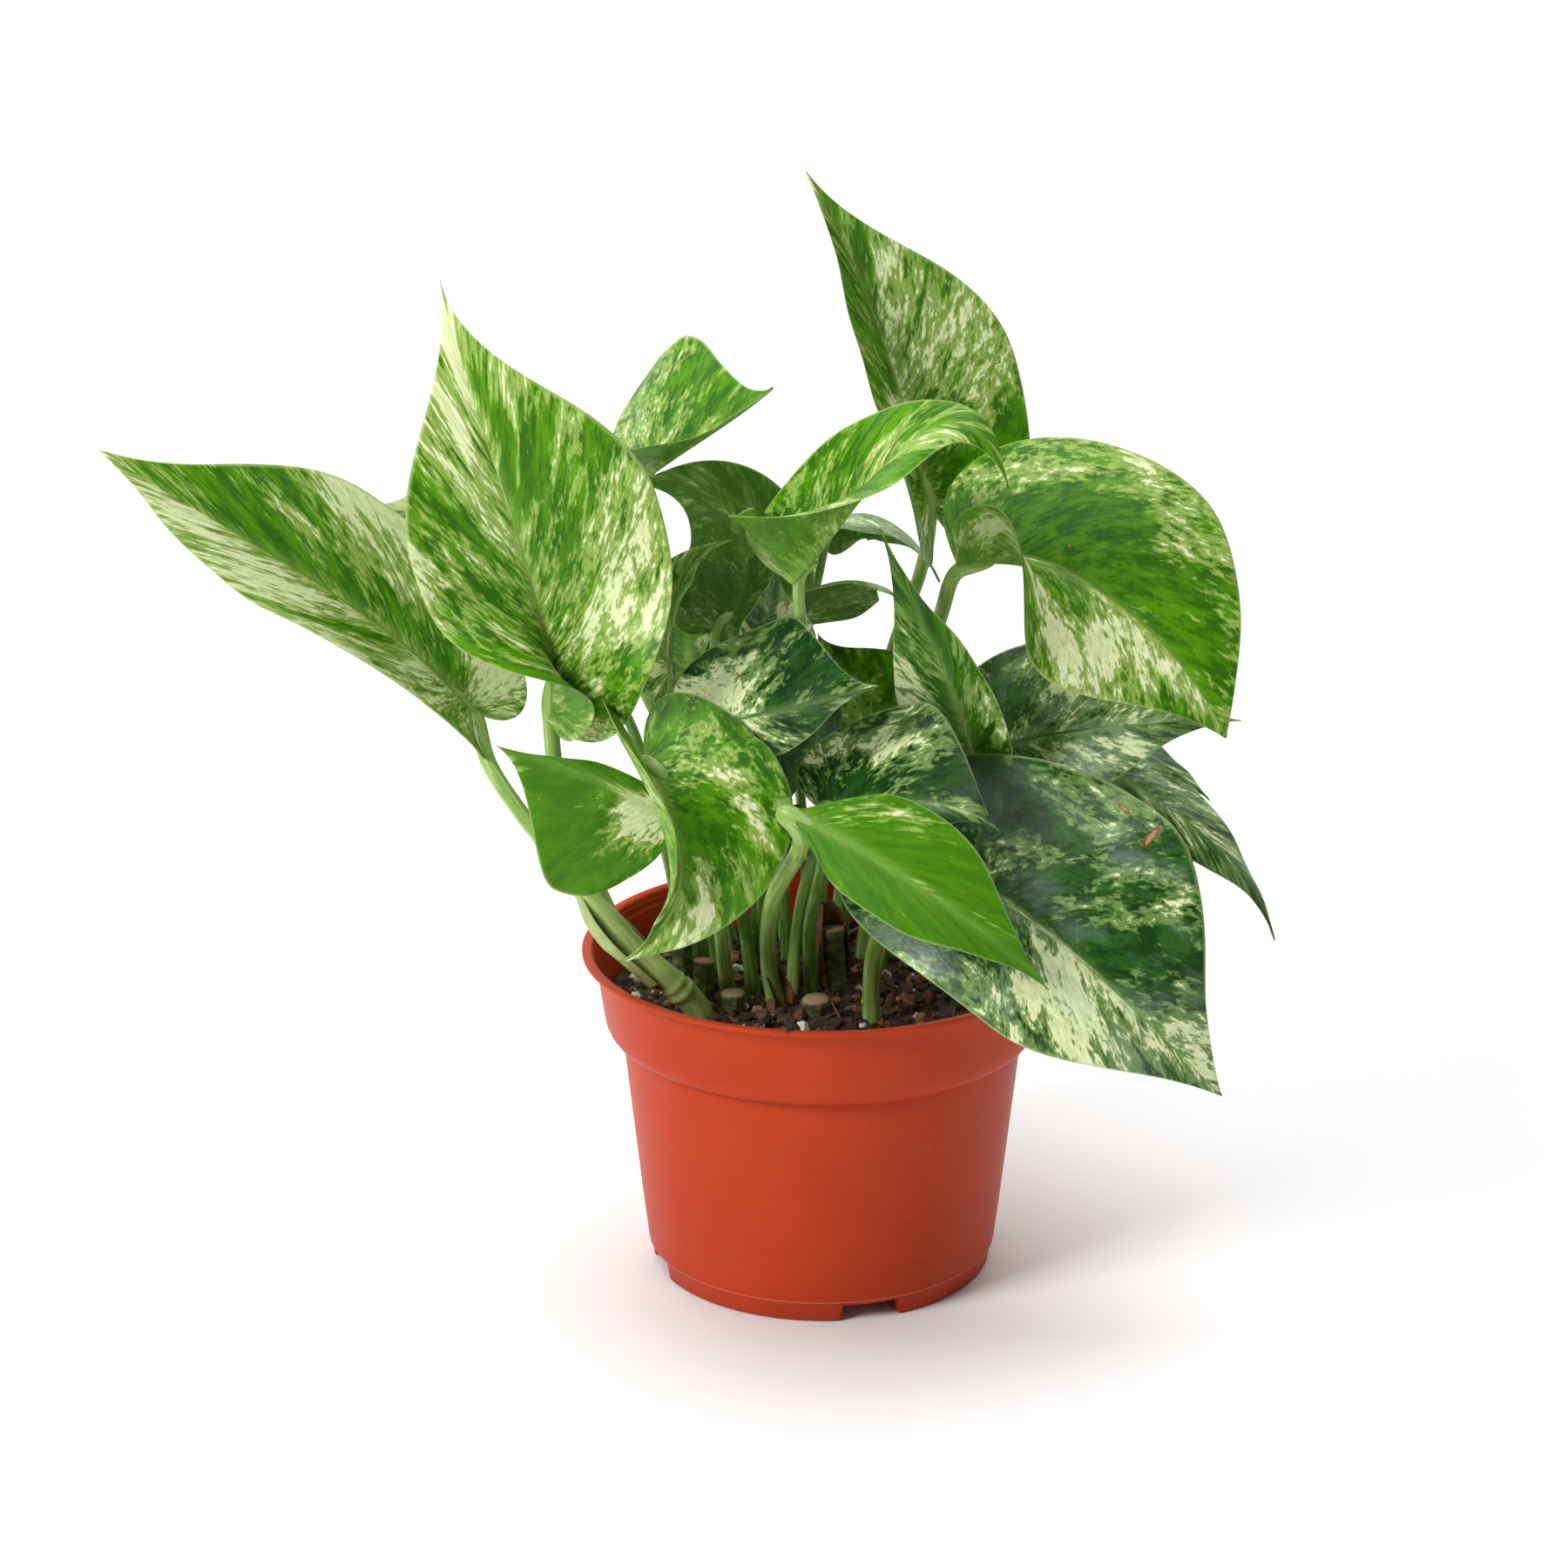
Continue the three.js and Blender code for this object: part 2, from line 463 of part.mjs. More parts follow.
function potSolid() {
  const profile = [
    [0, FOOT_HEIGHT],
    [FOOT_RADIUS - 1.6, FOOT_HEIGHT],
    [FOOT_RADIUS - 1.6, 0],
    [FOOT_RADIUS, 0],
    [FOOT_RADIUS + 0.8, FOOT_HEIGHT],
    [FOOT_RADIUS + 1.2, FOOT_HEIGHT + 0.3],
    [BODY_TOP_RADIUS, BAND_BOTTOM - 0.4],
    [BODY_TOP_RADIUS + 1.2, BAND_BOTTOM],
    [BAND_RADIUS, BAND_BOTTOM + 3.3],
    [NECK_RADIUS, POT_HEIGHT - LIP_THICKNESS - 0.7],
    [RIM_RADIUS, POT_HEIGHT - LIP_THICKNESS],
    [RIM_RADIUS, POT_HEIGHT],
    ...[...POT_INSIDE].reverse(),
    [0, FLOOR_TOP],
  ];
  let pot = turned(profile, 48);
  const notchCount = 4;
  for (let i = 0; i < notchCount; i++) {
    const turn = THREE.MathUtils.degToRad(16 - 90 + (360 / notchCount) * i);
    const notch = new THREE.BoxGeometry(12, NOTCH_WIDTH, 2 * (FOOT_HEIGHT - 0.6))
      .translate(FOOT_RADIUS, 0, 0)
      .rotateZ(turn);
    pot = pot.subtract(solidFrom(notch));
  }
  const drainCount = 6;
  for (let i = 0; i < drainCount; i++) {
    const drain = new THREE.CylinderGeometry(3.5, 3.5, 12, 12)
      .rotateX(Math.PI / 2)
      .translate(0.6 * FOOT_RADIUS, 0, FLOOR_TOP)
      .rotateZ((2 * Math.PI * i) / drainCount);
    pot = pot.subtract(solidFrom(drain));
  }
  return pot;
}

// The soil fills the pot to a slightly domed top, with a socket for every planted stem.
function soilSolid(sockets) {
  const [floor, body, band, rim] = POT_INSIDE.map(([radius, height]) => [radius - FIT_GAP, height]);
  const share = (SOIL_TOP - band[1]) / (rim[1] - band[1]);
  const topRadius = THREE.MathUtils.lerp(band[0], rim[0], share);
  const profile = [
    [0, floor[1] + FIT_GAP],
    [floor[0], floor[1] + FIT_GAP],
    body,
    band,
    [topRadius, SOIL_TOP - 0.4],
    [topRadius - 3, SOIL_TOP],
    [0, SOIL_TOP + 0.8],
  ];
  return sockets.reduce((soil, socket) => soil.subtract(socket), turned(profile, 36));
}

// The hole that a planted stem stands in: the stem itself, a little wider and longer.
function socketFor(path, radius, sides, steps) {
  const [foot, next] = path;
  const below = foot.clone().sub(next).setLength(0.8).add(foot);
  const wider = (radius + FIT_GAP) / Math.cos(Math.PI / sides);
  return rod([below, ...path], wider, sides, steps + 1);
}

const MATERIALS = {
  pot: new THREE.MeshStandardMaterial({ name: "pot", color: "#b84a22", roughness: 0.5 }),
  soil: new THREE.MeshStandardMaterial({ name: "soil", color: "#3a2419", roughness: 1 }),
  leaf: new THREE.MeshStandardMaterial({ name: "leaf", color: "#4f8a2a", roughness: 0.4 }),
  stem: new THREE.MeshStandardMaterial({ name: "stem", color: "#8fae5a", roughness: 0.5 }),
};

const group = new THREE.Group();
group.name = "potted_pothos";
const plant = new THREE.Group(); // everything, measured from the pot's axis
group.add(plant);

function addPart(name, solid, material) {
  const mesh = new THREE.Mesh(geometryFrom(solid), MATERIALS[material].clone());
  mesh.name = name;
  plant.add(mesh);
}

const sockets = [socketFor(VINE.path.map(place), VINE.radius * PLANT_SPREAD, 8, 12)];
for (const [name, leaf] of Object.entries(LEAVES)) {
  addPart("leaf_" + name, leafSolid(leaf), "leaf");
  const planted = leaf.stalk[0].length === 2;
  if (planted) sockets.push(socketFor(stalkPath(leaf), stalkRadius(leaf), 6, 10));
}
for (const [name, stump] of Object.entries(STUMPS)) {
  addPart(name, stumpSolid(stump), "stem");
  sockets.push(socketFor([stump.foot, stump.top].map(place), stump.radius * PLANT_SPREAD, 8, 1));
}
addPart("vine", vineSolid(), "stem");
addPart("pot", potSolid(), "pot");
addPart("soil", soilSolid(sockets), "soil");

// The part's origin: the middle of the box round the whole plant, on the plane it stands on.
const box = new THREE.Box3().setFromObject(plant);
const middle = box.getCenter(new THREE.Vector3());
plant.position.set(-middle.x, -middle.y, -box.min.z);

export default group;
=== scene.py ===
# %% [markdown]
# # A potted pothos, leaf by leaf
# The plant is a marble-queen pothos: thick heart-shaped leaves on long stalks, a short trailing
# vine, the stumps of the cuttings it was struck from, dark peat and a thin plastic pot.
# The imported model gives the sizes and the places. Here each piece gets its real surface and its
# real finish. This first cell loads the model and keeps its box, to print beside the finished one
# at the end.

import bpy
import numpy as np
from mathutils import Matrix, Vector


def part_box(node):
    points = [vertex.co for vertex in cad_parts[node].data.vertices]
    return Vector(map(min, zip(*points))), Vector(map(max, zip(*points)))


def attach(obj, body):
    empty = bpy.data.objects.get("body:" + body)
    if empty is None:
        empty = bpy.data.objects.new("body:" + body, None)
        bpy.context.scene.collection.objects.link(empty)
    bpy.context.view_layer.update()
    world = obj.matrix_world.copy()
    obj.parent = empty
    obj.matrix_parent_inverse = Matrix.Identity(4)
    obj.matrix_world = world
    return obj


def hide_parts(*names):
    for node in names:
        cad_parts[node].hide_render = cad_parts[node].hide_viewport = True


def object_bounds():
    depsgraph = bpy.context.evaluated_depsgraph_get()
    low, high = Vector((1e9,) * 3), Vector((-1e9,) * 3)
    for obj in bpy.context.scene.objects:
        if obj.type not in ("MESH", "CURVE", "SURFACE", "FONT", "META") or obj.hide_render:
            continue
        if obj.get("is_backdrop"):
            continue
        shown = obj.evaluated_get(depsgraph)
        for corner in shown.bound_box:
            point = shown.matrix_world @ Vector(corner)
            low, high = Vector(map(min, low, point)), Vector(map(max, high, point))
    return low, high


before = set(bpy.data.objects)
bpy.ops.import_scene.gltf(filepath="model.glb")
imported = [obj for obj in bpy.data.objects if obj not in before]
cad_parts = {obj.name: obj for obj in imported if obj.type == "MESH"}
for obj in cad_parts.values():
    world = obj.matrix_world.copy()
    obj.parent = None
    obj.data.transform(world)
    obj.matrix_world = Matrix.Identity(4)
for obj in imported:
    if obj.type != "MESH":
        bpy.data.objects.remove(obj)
cad_box = [list(corner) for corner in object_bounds()]
pot_low, pot_high = (np.array(corner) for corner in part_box("pot"))
AXIS = (pot_low[:2] + pot_high[:2]) / 2  # where the pot's axis stands
RIM_TOP = pot_high[2]
UNIT = (pot_high[0] - pot_low[0]) / 2 / 54  # one measured millimetre, in metres
SOIL_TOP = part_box("soil")[1][2] - 0.8 * UNIT
print("pot axis", AXIS.round(4), "rim at", round(RIM_TOP, 4), "one unit", round(UNIT, 6))

# %% [markdown]
# ## Meshes from arrays
# Every new surface is a grid of points worked out as one array. `tube` carries a round section
# along a path, the way a stalk grows, and `carried_frame` keeps it from twisting. Writing the
# arrays with foreach_set is much quicker than adding vertices one by one, and gives the same mesh
# each time.

# %% Mesh helpers
ROOT_DEPTH = 5  # a stalk is set this deep in the soil, in measured millimetres


def place(points):
    """Measured points (x right, y back, z up from the middle of the rim, mm) in the frame."""
    points = np.asarray(points, float)
    return np.stack(
        [AXIS[0] + points[..., 0] * UNIT, AXIS[1] + points[..., 1] * UNIT,
         RIM_TOP + points[..., 2] * UNIT], -1)


def unit(vectors):
    """Each vector divided by its own length."""
    return vectors / np.maximum(np.linalg.norm(vectors, axis=-1, keepdims=True), 1e-12)


def add_mesh(name, points, faces, smooth=True, uv=None, values=None):
    """A mesh object from an (n, 3) array of points and a list of (m, 3) or (m, 4) face arrays."""
    mesh = bpy.data.meshes.new(name)
    corners = np.concatenate([f.ravel() for f in faces]).astype(np.int32)
    sizes = np.concatenate([np.full(len(f), f.shape[1]) for f in faces]).astype(np.int32)
    starts = np.concatenate([[0], np.cumsum(sizes)[:-1]]).astype(np.int32)
    mesh.vertices.add(len(points))
    mesh.vertices.foreach_set("co", np.asarray(points, np.float32).ravel())
    mesh.loops.add(len(corners))
    mesh.loops.foreach_set("vertex_index", corners)
    mesh.polygons.add(len(sizes))
    mesh.polygons.foreach_set("loop_start", starts)
    mesh.polygons.foreach_set("use_smooth", np.full(len(sizes), smooth))
    if uv is not None:
        layer = mesh.uv_layers.new(name="skin")
        layer.data.foreach_set("uv", np.asarray(uv, np.float32)[corners].ravel())
    for key, value in (values or {}).items():
        mesh.attributes.new(key, "FLOAT", "POINT")
        mesh.attributes[key].data.foreach_set("value", np.asarray(value, np.float32).ravel())
    mesh.update(calc_edges=True)
    mesh.validate()
    piece = bpy.data.objects.new(name, mesh)
    bpy.context.scene.collection.objects.link(piece)
    return piece


def finish_piece(piece, material, slot, *nodes):
    """Gives a piece its material and its body, and hides the CAD nodes it stands for; slot is not
    used.
    """
    piece.data.materials.append(material)
    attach(piece, "root")
    if nodes:
        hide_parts(*nodes)
    return piece


def quads(rows, columns, wrap=False):
    """The four-sided faces of a grid of points, numbered row by row."""
    across = columns if wrap else columns - 1
    i, j = np.meshgrid(np.arange(rows - 1), np.arange(across), indexing="ij")
    k = (j + 1) % columns
    this, above = i * columns, (i + 1) * columns
    return np.stack([this + j, this + k, above + k, above + j], -1).reshape(-1, 4)


def smooth_path(points, count):
    """A Catmull-Rom curve: between two points the cubic whose slope at each is half the step
    from the point before to the point after."""
    points = np.asarray(points, float)
    padded = np.vstack([2 * points[0] - points[1], points, 2 * points[-1] - points[-2]])
    place_on = np.linspace(0, len(points) - 1, count)
    part = np.minimum(place_on.astype(int), len(points) - 2)
    t = (place_on - part)[:, None]
    a, b, c, d = (padded[part + k] for k in range(4))
    return 0.5 * (2 * b + (c - a) * t + (2 * a - 5 * b + 4 * c - d) * t**2
                  + (3 * b - a - 3 * c + d) * t**3)


def carried_frame(path, face):
    """Tangent, normal and side along a path: the face direction is made square to the path at
    its start and carried on from station to station without twisting."""
    tangents = unit(np.gradient(path, axis=0))
    normals = np.empty_like(tangents)
    normal = np.asarray(face, float)
    for i, tangent in enumerate(tangents):
        normal = unit(normal - tangent * (normal @ tangent))
        normals[i] = normal
    return tangents, normals, np.cross(tangents, normals)


def tube(path, radii, face=(0, -1, 0), sides=16, shape=None):
    """A closed round body: at each station the section's point at angle a lies
    radius * (side * cos a + normal * sin a) from the path, times shape(a, station)."""
    _, normals, across = carried_frame(path, face)
    angle = np.linspace(0, 2 * np.pi, sides, endpoint=False)
    share = np.linspace(0, 1, len(path))
    radii = np.broadcast_to(radii, len(path))[:, None]
    if shape is not None:
        radii = radii * shape(angle[None, :], share[:, None])
    radii = np.broadcast_to(radii, (len(path), sides))
    rings = (path[:, None] + across[:, None] * (radii * np.cos(angle))[..., None]
             + normals[:, None] * (radii * np.sin(angle))[..., None])
    points = np.vstack([rings.reshape(-1, 3), path[:1], path[-1:]])
    ring = np.arange(sides)
    after = (ring + 1) % sides
    last = (len(path) - 1) * sides
    foot, head = len(points) - 2, len(points) - 1
    faces = [quads(len(path), sides, wrap=True)[:, ::-1],
             np.stack([np.full(sides, foot), ring, after], -1),
             np.stack([np.full(sides, head), last + after, last + ring], -1)]
    lengths = np.concatenate([[0], np.cumsum(np.linalg.norm(np.diff(path, axis=0), axis=1))])
    turned = np.abs(np.where(angle > np.pi, angle - 2 * np.pi, angle)) / (2 * np.pi)
    grid_uv = np.stack(np.broadcast_arrays(turned, lengths[:, None] / UNIT), -1).reshape(-1, 2)
    uv = np.vstack([grid_uv, [[0, 0]], [[0, lengths[-1] / UNIT]]])
    return points, faces, uv


# %% [markdown]
# ## The leaves, as measured
# A pothos leaf is best described by its midrib and by how each half leans away from it. Each
# entry gives four points on the midrib, the way the upper side faces, the two half-widths, and
# the fold and curl of each half at the base and at the tip. `shape` holds the depth of the basal
# lobes, the place of the widest point and the fullness of the tip; `collar` is the further fold
# of each half at its base, and `stalk` the stalk's way up.
# The same few numbers could be drawn as outlines and bent by hand, but this way one function
# makes every leaf, and each one still has its own gesture.

# %% Leaf measures
LEAVES = {
    "far_left": dict(
        rib=((-76, -8, 57), (-99, -16, 82), (-126, -24, 103), (-152, -30, 122)),
        face=(0.25, -0.85, 0.45), wide=(20, 22), fold=(22, 10, 25, 8), curl=(85, -10, 35, 10),
        shape=(0.08, 0.48, 0.26), collar=(0, 0), radius=1.9,
        stalk=((-51, -19, 17), (-56, -19, 24), (-66, -17, 37), (-73, -13, 47))),
    "tall_left": dict(
        rib=((-59, -20, 59), (-62, -24, 91), (-72, -24, 125), (-81, -14, 155)),
        face=(0.05, -0.97, 0.2), wide=(24, 31), fold=(18, 8, 12, 6), curl=(40, -12, 0, 0),
        shape=(0.02, 0.44, 0.02), collar=(95, 35), radius=1.9,
        stalk=((-43.5, -17.8, 7.5), (-46.8, -12.2, 11), (-54, -8, 27), (-58, -16, 45))),
    "peek_left": dict(
        rib=((-75, 24, 83), (-82, 22, 92), (-92, 20, 95), (-100, 16, 98)),
        face=(0, -0.8, 0.6), wide=(14, 12), fold=(5, 5, 5, 5), curl=(0, 0, 0, 0),
        shape=(0.14, 0.3, 0.1), collar=(0, 0), radius=1.3,
        stalk=((-29, 22), (-41, 26, 36), (-50, 27, 53), (-66, 28, 72))),
    "back_top": dict(
        rib=((-41, 32, 99), (-33, 20, 108), (-22, 8, 118), (-11, -4, 129)),
        face=(-0.5, -0.5, 0.7), wide=(30, 18), fold=(25, 65, 10, 20), curl=(-20, 60, 10, 30),
        shape=(0.34, 0.25, 0.1), collar=(0, 0), radius=1.4,
        stalk=((-19, 30), (-34, 34, 33), (-42, 36, 53), (-44, 38, 79))),
    "back_arch": dict(
        rib=((-24, 18, 68), (-18, 24, 81), (-24, 26, 96), (-43, 20, 101)),
        face=(0.45, 0.75, 0.45), wide=(17, 24), fold=(-8, -8, -8, -8), curl=(-20, -20, -20, -20),
        shape=(0.14, 0.3, 0.1), collar=(0, 0), radius=1.2,
        stalk=((-16, 20), (-21, 20, 27), (-24, 18, 50))),
    "side_bright": dict(
        rib=((-34, 0, 63), (-34, 2, 75), (-30, 4, 86), (-20, 4, 93)),
        face=(-0.6, -0.6, 0.5), wide=(9, 13), fold=(30, 30, 30, 30), curl=(0, 30, 0, 30),
        shape=(0.14, 0.3, 0.1), collar=(0, 0), radius=1.2,
        stalk=((-23, 18), (-29, 8, 23), (-34, 0, 46))),
    "back_dark": dict(
        rib=((-15, 34, 64), (-14, 34, 74), (-16, 36, 85), (-19, 38, 93)),
        face=(0.2, -0.9, 0.2), wide=(9, 9), fold=(20, 20, 20, 20), curl=(0, 0, 0, 0),
        shape=(0.14, 0.3, 0.1), collar=(0, 0), radius=1.1,
        stalk=((-12, 28), (-13, 33, 27))),
    "arch": dict(
        rib=((-6, -15, 89), (4, -25, 106), (22, -37, 128), (38, -40, 116)),
        face=(-0.45, -0.35, 0.8), wide=(19, 22), fold=(62, 96, 25, -30), curl=(0, 15, -10, 0),
        shape=(0.14, 0.3, 0.1), collar=(0, 0), radius=1.4,
        stalk=((-3, 18), (0, 7, 11), (0, -4, 39), (-3, -7, 62))),
    "tall_right": dict(
        rib=((24, 14, 97), (17, 17, 123), (8, 14, 148), (-4, 6, 174)),
        face=(0.25, -0.92, 0.25), wide=(17, 27), fold=(32, 8, 40, 8), curl=(70, -15, 10, 0),
        shape=(0.14, 0.3, 0.1), collar=(0, 0), radius=1.6,
        stalk=((2, 21), (8, 29, 28), (16, 29, 60), (22, 19, 82))),
    "big_right": dict(
        rib=((29, -8, 90), (50, -10, 90), (71, -16, 77), (87, -20, 55)),
        face=(-0.05, -0.6, 0.8), wide=(37, 27), fold=(14, 40, 10, -10), curl=(-40, 10, -10, -10),
        shape=(0, 0.38, 0.45), collar=(0, 60), radius=1.8,
        stalk=((9, 25), (16, 25, 29), (22, 27, 51), (26, 2, 77))),
    "back_drape": dict(
        rib=((1, 48, 82), (9, 45, 88), (19, 43, 84), (27, 40, 73)),
        face=(0.1, 0.5, 0.85), wide=(10, 24), fold=(0, -45, 0, -45), curl=(0, 0, 0, 0),
        shape=(0.14, 0.3, 0.1), collar=(0, 0), radius=1.2,
        stalk=((-9, 36), (-7, 46, 33))),
    "mid_flat": dict(
        rib=((-6, 17, 71), (1, 13, 79), (9, 9, 82), (18, 6, 78)),
        face=(0, 0.55, 0.8), wide=(18, 17), fold=(10, -20, 10, -20), curl=(0, -20, 0, -20),
        shape=(0.05, 0.3, 0.1), collar=(0, 0), radius=1.1,
        stalk=((-8, 24), (-9, 20, 31), (-9, 11, 59))),
    "sword": dict(
        rib=((34, -4, 42), (28, -10, 63), (19, -12, 84), (12, -9, 99)),
        face=(-0.45, -0.85, 0.2), wide=(13, 11), fold=(20, 10, 10, 10), curl=(130, -20, 20, 0),
        shape=(0.14, 0.3, 0.1), collar=(0, 0), radius=1.4,
        stalk=((9, -5), (18, -2, 16), (30, -5, 29))),
    "dark_right": dict(
        rib=((35, 7, 42), (53, 1, 49), (73, -3, 53), (92, -4, 54)),
        face=(0, -0.62, 0.78), wide=(26, 17), fold=(10, -40, 5, -10), curl=(-20, -10, 0, 0),
        shape=(0.12, 0.22, 0.1), collar=(0, 0), radius=1.5,
        stalk=((11, 14), (21, 12, 16), (31, 10, 33))),
    "sliver_upper": dict(
        rib=((59, 34, 35), (69, 32, 35), (79, 30, 32), (89, 26, 25)),
        face=(0, -0.2, 1), wide=(8, 9), fold=(10, -50, 10, -50), curl=(0, 0, 0, 0),
        shape=(0.14, 0.3, 0.1), collar=(0, 0), radius=1.2,
        stalk=((14, 24), (30, 33, 13), (50, 37, 31))),
    "sliver_right": dict(
        rib=((62, 14, 39), (77, 12, 29), (92, 8, 17), (102, 2, 0)),
        face=(0.5, -0.3, 0.8), wide=(14, 9), fold=(0, -30, 0, -30), curl=(0, 0, 0, 0),
        shape=(0.14, 0.3, 0.1), collar=(0, 0), radius=1.2,
        stalk=((17, 16), (34, 19, 14), (55, 19, 33))),
    "big_low": dict(
        rib=((28, -40, 30), (48, -52, 21), (67, -57, 5), (85, -55, -14)),
        face=(0.25, -0.8, 0.55), wide=(38, 23), fold=(4, -4, 4, -4), curl=(-12, -20, -12, -20),
        shape=(0.3, 0.34, 0.3), collar=(0, 0), radius=1.9,
        stalk=((11, -14), (11, -19, 4), (16, -26, 19))),
    "spear_low": dict(
        rib=((-8, -54, 50), (10, -60, 42), (29, -65, 30), (47, -64, 14)),
        face=(0.1, -0.75, 0.65), wide=(15, 12), fold=(16, 8, 16, 8), curl=(-10, 10, -10, 10),
        shape=(-0.1, 0.42, 0.1), collar=(0, 0), radius=2,
        stalk=((-9, -4), (-12, -10, -1), (-11, -26, 20), (-5, -51, 42))),
    "dark_centre": dict(
        rib=((-1, -34, 44), (11, -40, 47), (24, -46, 49), (37, -50, 44)),
        face=(-0.05, -0.6, 0.8), wide=(28, 10), fold=(10, -50, 0, -20), curl=(-30, 0, 0, 0),
        shape=(0.18, 0.35, 0.1), collar=(0, 0), radius=1.5,
        stalk=((-2, 1), (-3, -6, 5), (0, -20, 28))),
    "cream_dark": dict(
        rib=((-23, -27, 60), (-12, -31, 64), (0, -36, 69), (12, -39, 73)),
        face=(-0.05, -0.6, 0.8), wide=(26, 9), fold=(10, -50, 0, -20), curl=(-30, 0, 0, 0),
        shape=(0.25, 0.3, 0.1), collar=(0, 0), radius=1.6,
        stalk=((-15, 3), (-17, 0, 1), (-19, -8, 19), (-20, -20, 45))),
    "behind_mid": dict(
        rib=((11, 6, 46), (8, 10, 54), (3, 14, 61), (-1, 16, 68)),
        face=(0.2, -0.9, 0.3), wide=(20, 20), fold=(0, 0, 0, 0), curl=(0, -20, 0, -20),
        shape=(0.14, 0.3, 0.1), collar=(0, 0), radius=1.4,
        stalk=((-7, 0), (-6, 5, -1), (-3, 6, 15), (5, 10, 35))),
    "front_round": dict(
        rib=((-38, -43, 58), (-32, -53, 47), (-31, -57, 32), (-43, -59, 18)),
        face=(0.1, -0.9, 0.4), wide=(27, 11), fold=(-4, 40, -4, 40), curl=(-25, 60, 0, 100),
        shape=(0.3, 0.3, 0.1), collar=(0, 0), radius=1.6,
        stalk=((-21, 6), (-23, -24, 16), (-26, -40, 40), (-34, -46, 55))),
    "front_bright": dict(
        rib=((-32, -29, 39), (-44, -31, 47), (-57, -33, 53), (-70, -34, 58)),
        face=(-0.2, -0.9, 0.3), wide=(26, 4), fold=(0, 0, 0, 0), curl=(0, 0, 0, 0),
        shape=(0.05, 0.4, 0.1), collar=(0, 0), radius=1.5,
        stalk=((-26, 16), (-28, 0, 7), (-30, -20, 24))),
    "marbled_low": dict(
        rib=((-9, 7, 29), (-11, 5, 23), (-13, 3, 16), (-15, 1, 10)),
        face=(-0.1, -0.9, 0.3), wide=(9, 8), fold=(0, 0, 0, 0), curl=(-20, -20, -20, -20),
        shape=(0.14, 0.3, 0.1), collar=(0, 0), radius=1.1,
        stalk=((-15, 24), (-13, 20, 10), (-9, 14, 23))),
    "narrow_mid": dict(
        rib=((0, -12, 58), (-3, -12, 50), (-6, -12, 43), (-8, -14, 37)),
        face=(-0.3, -0.9, 0.2), wide=(5, 12), fold=(0, 0, 0, 0), curl=(0, 0, 0, 0),
        shape=(0.14, 0.3, 0.1), collar=(0, 0), radius=1.1,
        stalk=((4, 16), (6, 7, 18), (4, -9, 43))),
    "tip_mid": dict(
        rib=((-11, 0, 65), (-11, 0, 73), (-11, 0, 81), (-10, 1, 88)),
        face=(0, -0.95, 0.2), wide=(8, 10), fold=(20, 20, 20, 20), curl=(0, 0, 0, 0),
        shape=(0.14, 0.3, 0.1), collar=(0, 0), radius=1.1,
        stalk=((-3, 27), (-5, 18, 32))),
    "shade_left": dict(
        rib=((-28, 25, 52), (-29, 27, 59), (-30, 29, 66), (-31, 29, 74)),
        face=(0, 0.8, 0.3), wide=(14, 14), fold=(0, 0, 0, 0), curl=(0, 0, 0, 0),
        shape=(0.14, 0.3, 0.1), collar=(0, 0), radius=1.1,
        stalk=((-21, 27), (-25, 30, 28))),
    "back_low": dict(
        rib=((22, 40, 21), (20, 60, 25), (31, 78, 23), (42, 92, 11)),
        face=(0.1, 0.2, 0.97), wide=(16, 17), fold=(12, 12, 12, 12), curl=(-20, -20, -20, -20),
        shape=(0.14, 0.3, 0.1), collar=(0, 0), radius=1.3,
        stalk=((13, 36), (16, 42, 5))),
    "back_left": dict(
        rib=((-23, 44, 22), (-26, 60, 22), (-33, 76, 18), (-39, 90, 9)),
        face=(-0.1, 0.2, 0.97), wide=(17, 17), fold=(12, 12, 12, 12), curl=(-20, -20, -20, -20),
        shape=(0.14, 0.3, 0.1), collar=(0, 0), radius=1.3,
        stalk=((-16, 36), (-15, 40, 7))),
    "back_middle": dict(
        rib=((-6, 54, 30), (-5, 70, 34), (-4, 88, 32), (-1, 104, 21)),
        face=(0, 0.3, 0.95), wide=(15, 15), fold=(12, 12, 12, 12), curl=(-20, -20, -20, -20),
        shape=(0.14, 0.3, 0.1), collar=(0, 0), radius=1.3,
        stalk=((-1, 36), (-4, 46, 12))),
}
VINE = [(-26, -13), (-28, -14, -10), (-34, -17, -2), (-41, -18, 5), (-47, -19, 13)]
print(len(LEAVES), "leaves measured")


def place_route(points):
    """A stalk's points in the frame; a first point with no height is planted in the soil."""
    first = points[0]
    if len(first) == 2:
        foot = place((*first, 0))
        foot[2] = SOIL_TOP - ROOT_DEPTH * UNIT
        return np.vstack([foot, place(points[1:])])
    return place(points)


# %% [markdown]
# ## From a midrib to a blade
# The blade is a surface of two parameters: q runs from the stalk to the tip and v from the left
# margin over the rib to the right margin. Lines of equal q are the side veins, which leave the
# rib steeply and sweep forward. Each half rises from the rib at its fold angle and rolls along an
# arc, so a cupped, flat or turned-over half is the same formula. Sculpting could give such a leaf
# too, but then the veins and the marbling would not follow it by themselves.

# %% The blade surface
BLADE_ROWS = 100
HALF_COLUMNS = 26
COLLAR_REACH = 0.24  # how far up the rib a half stays folded at its base
VEIN_SWEEP = 2.8  # how strongly the side veins start near the stalk and sweep to the tip
LOBE_SHARE = 0.45  # the part of q that runs round the basal lobe


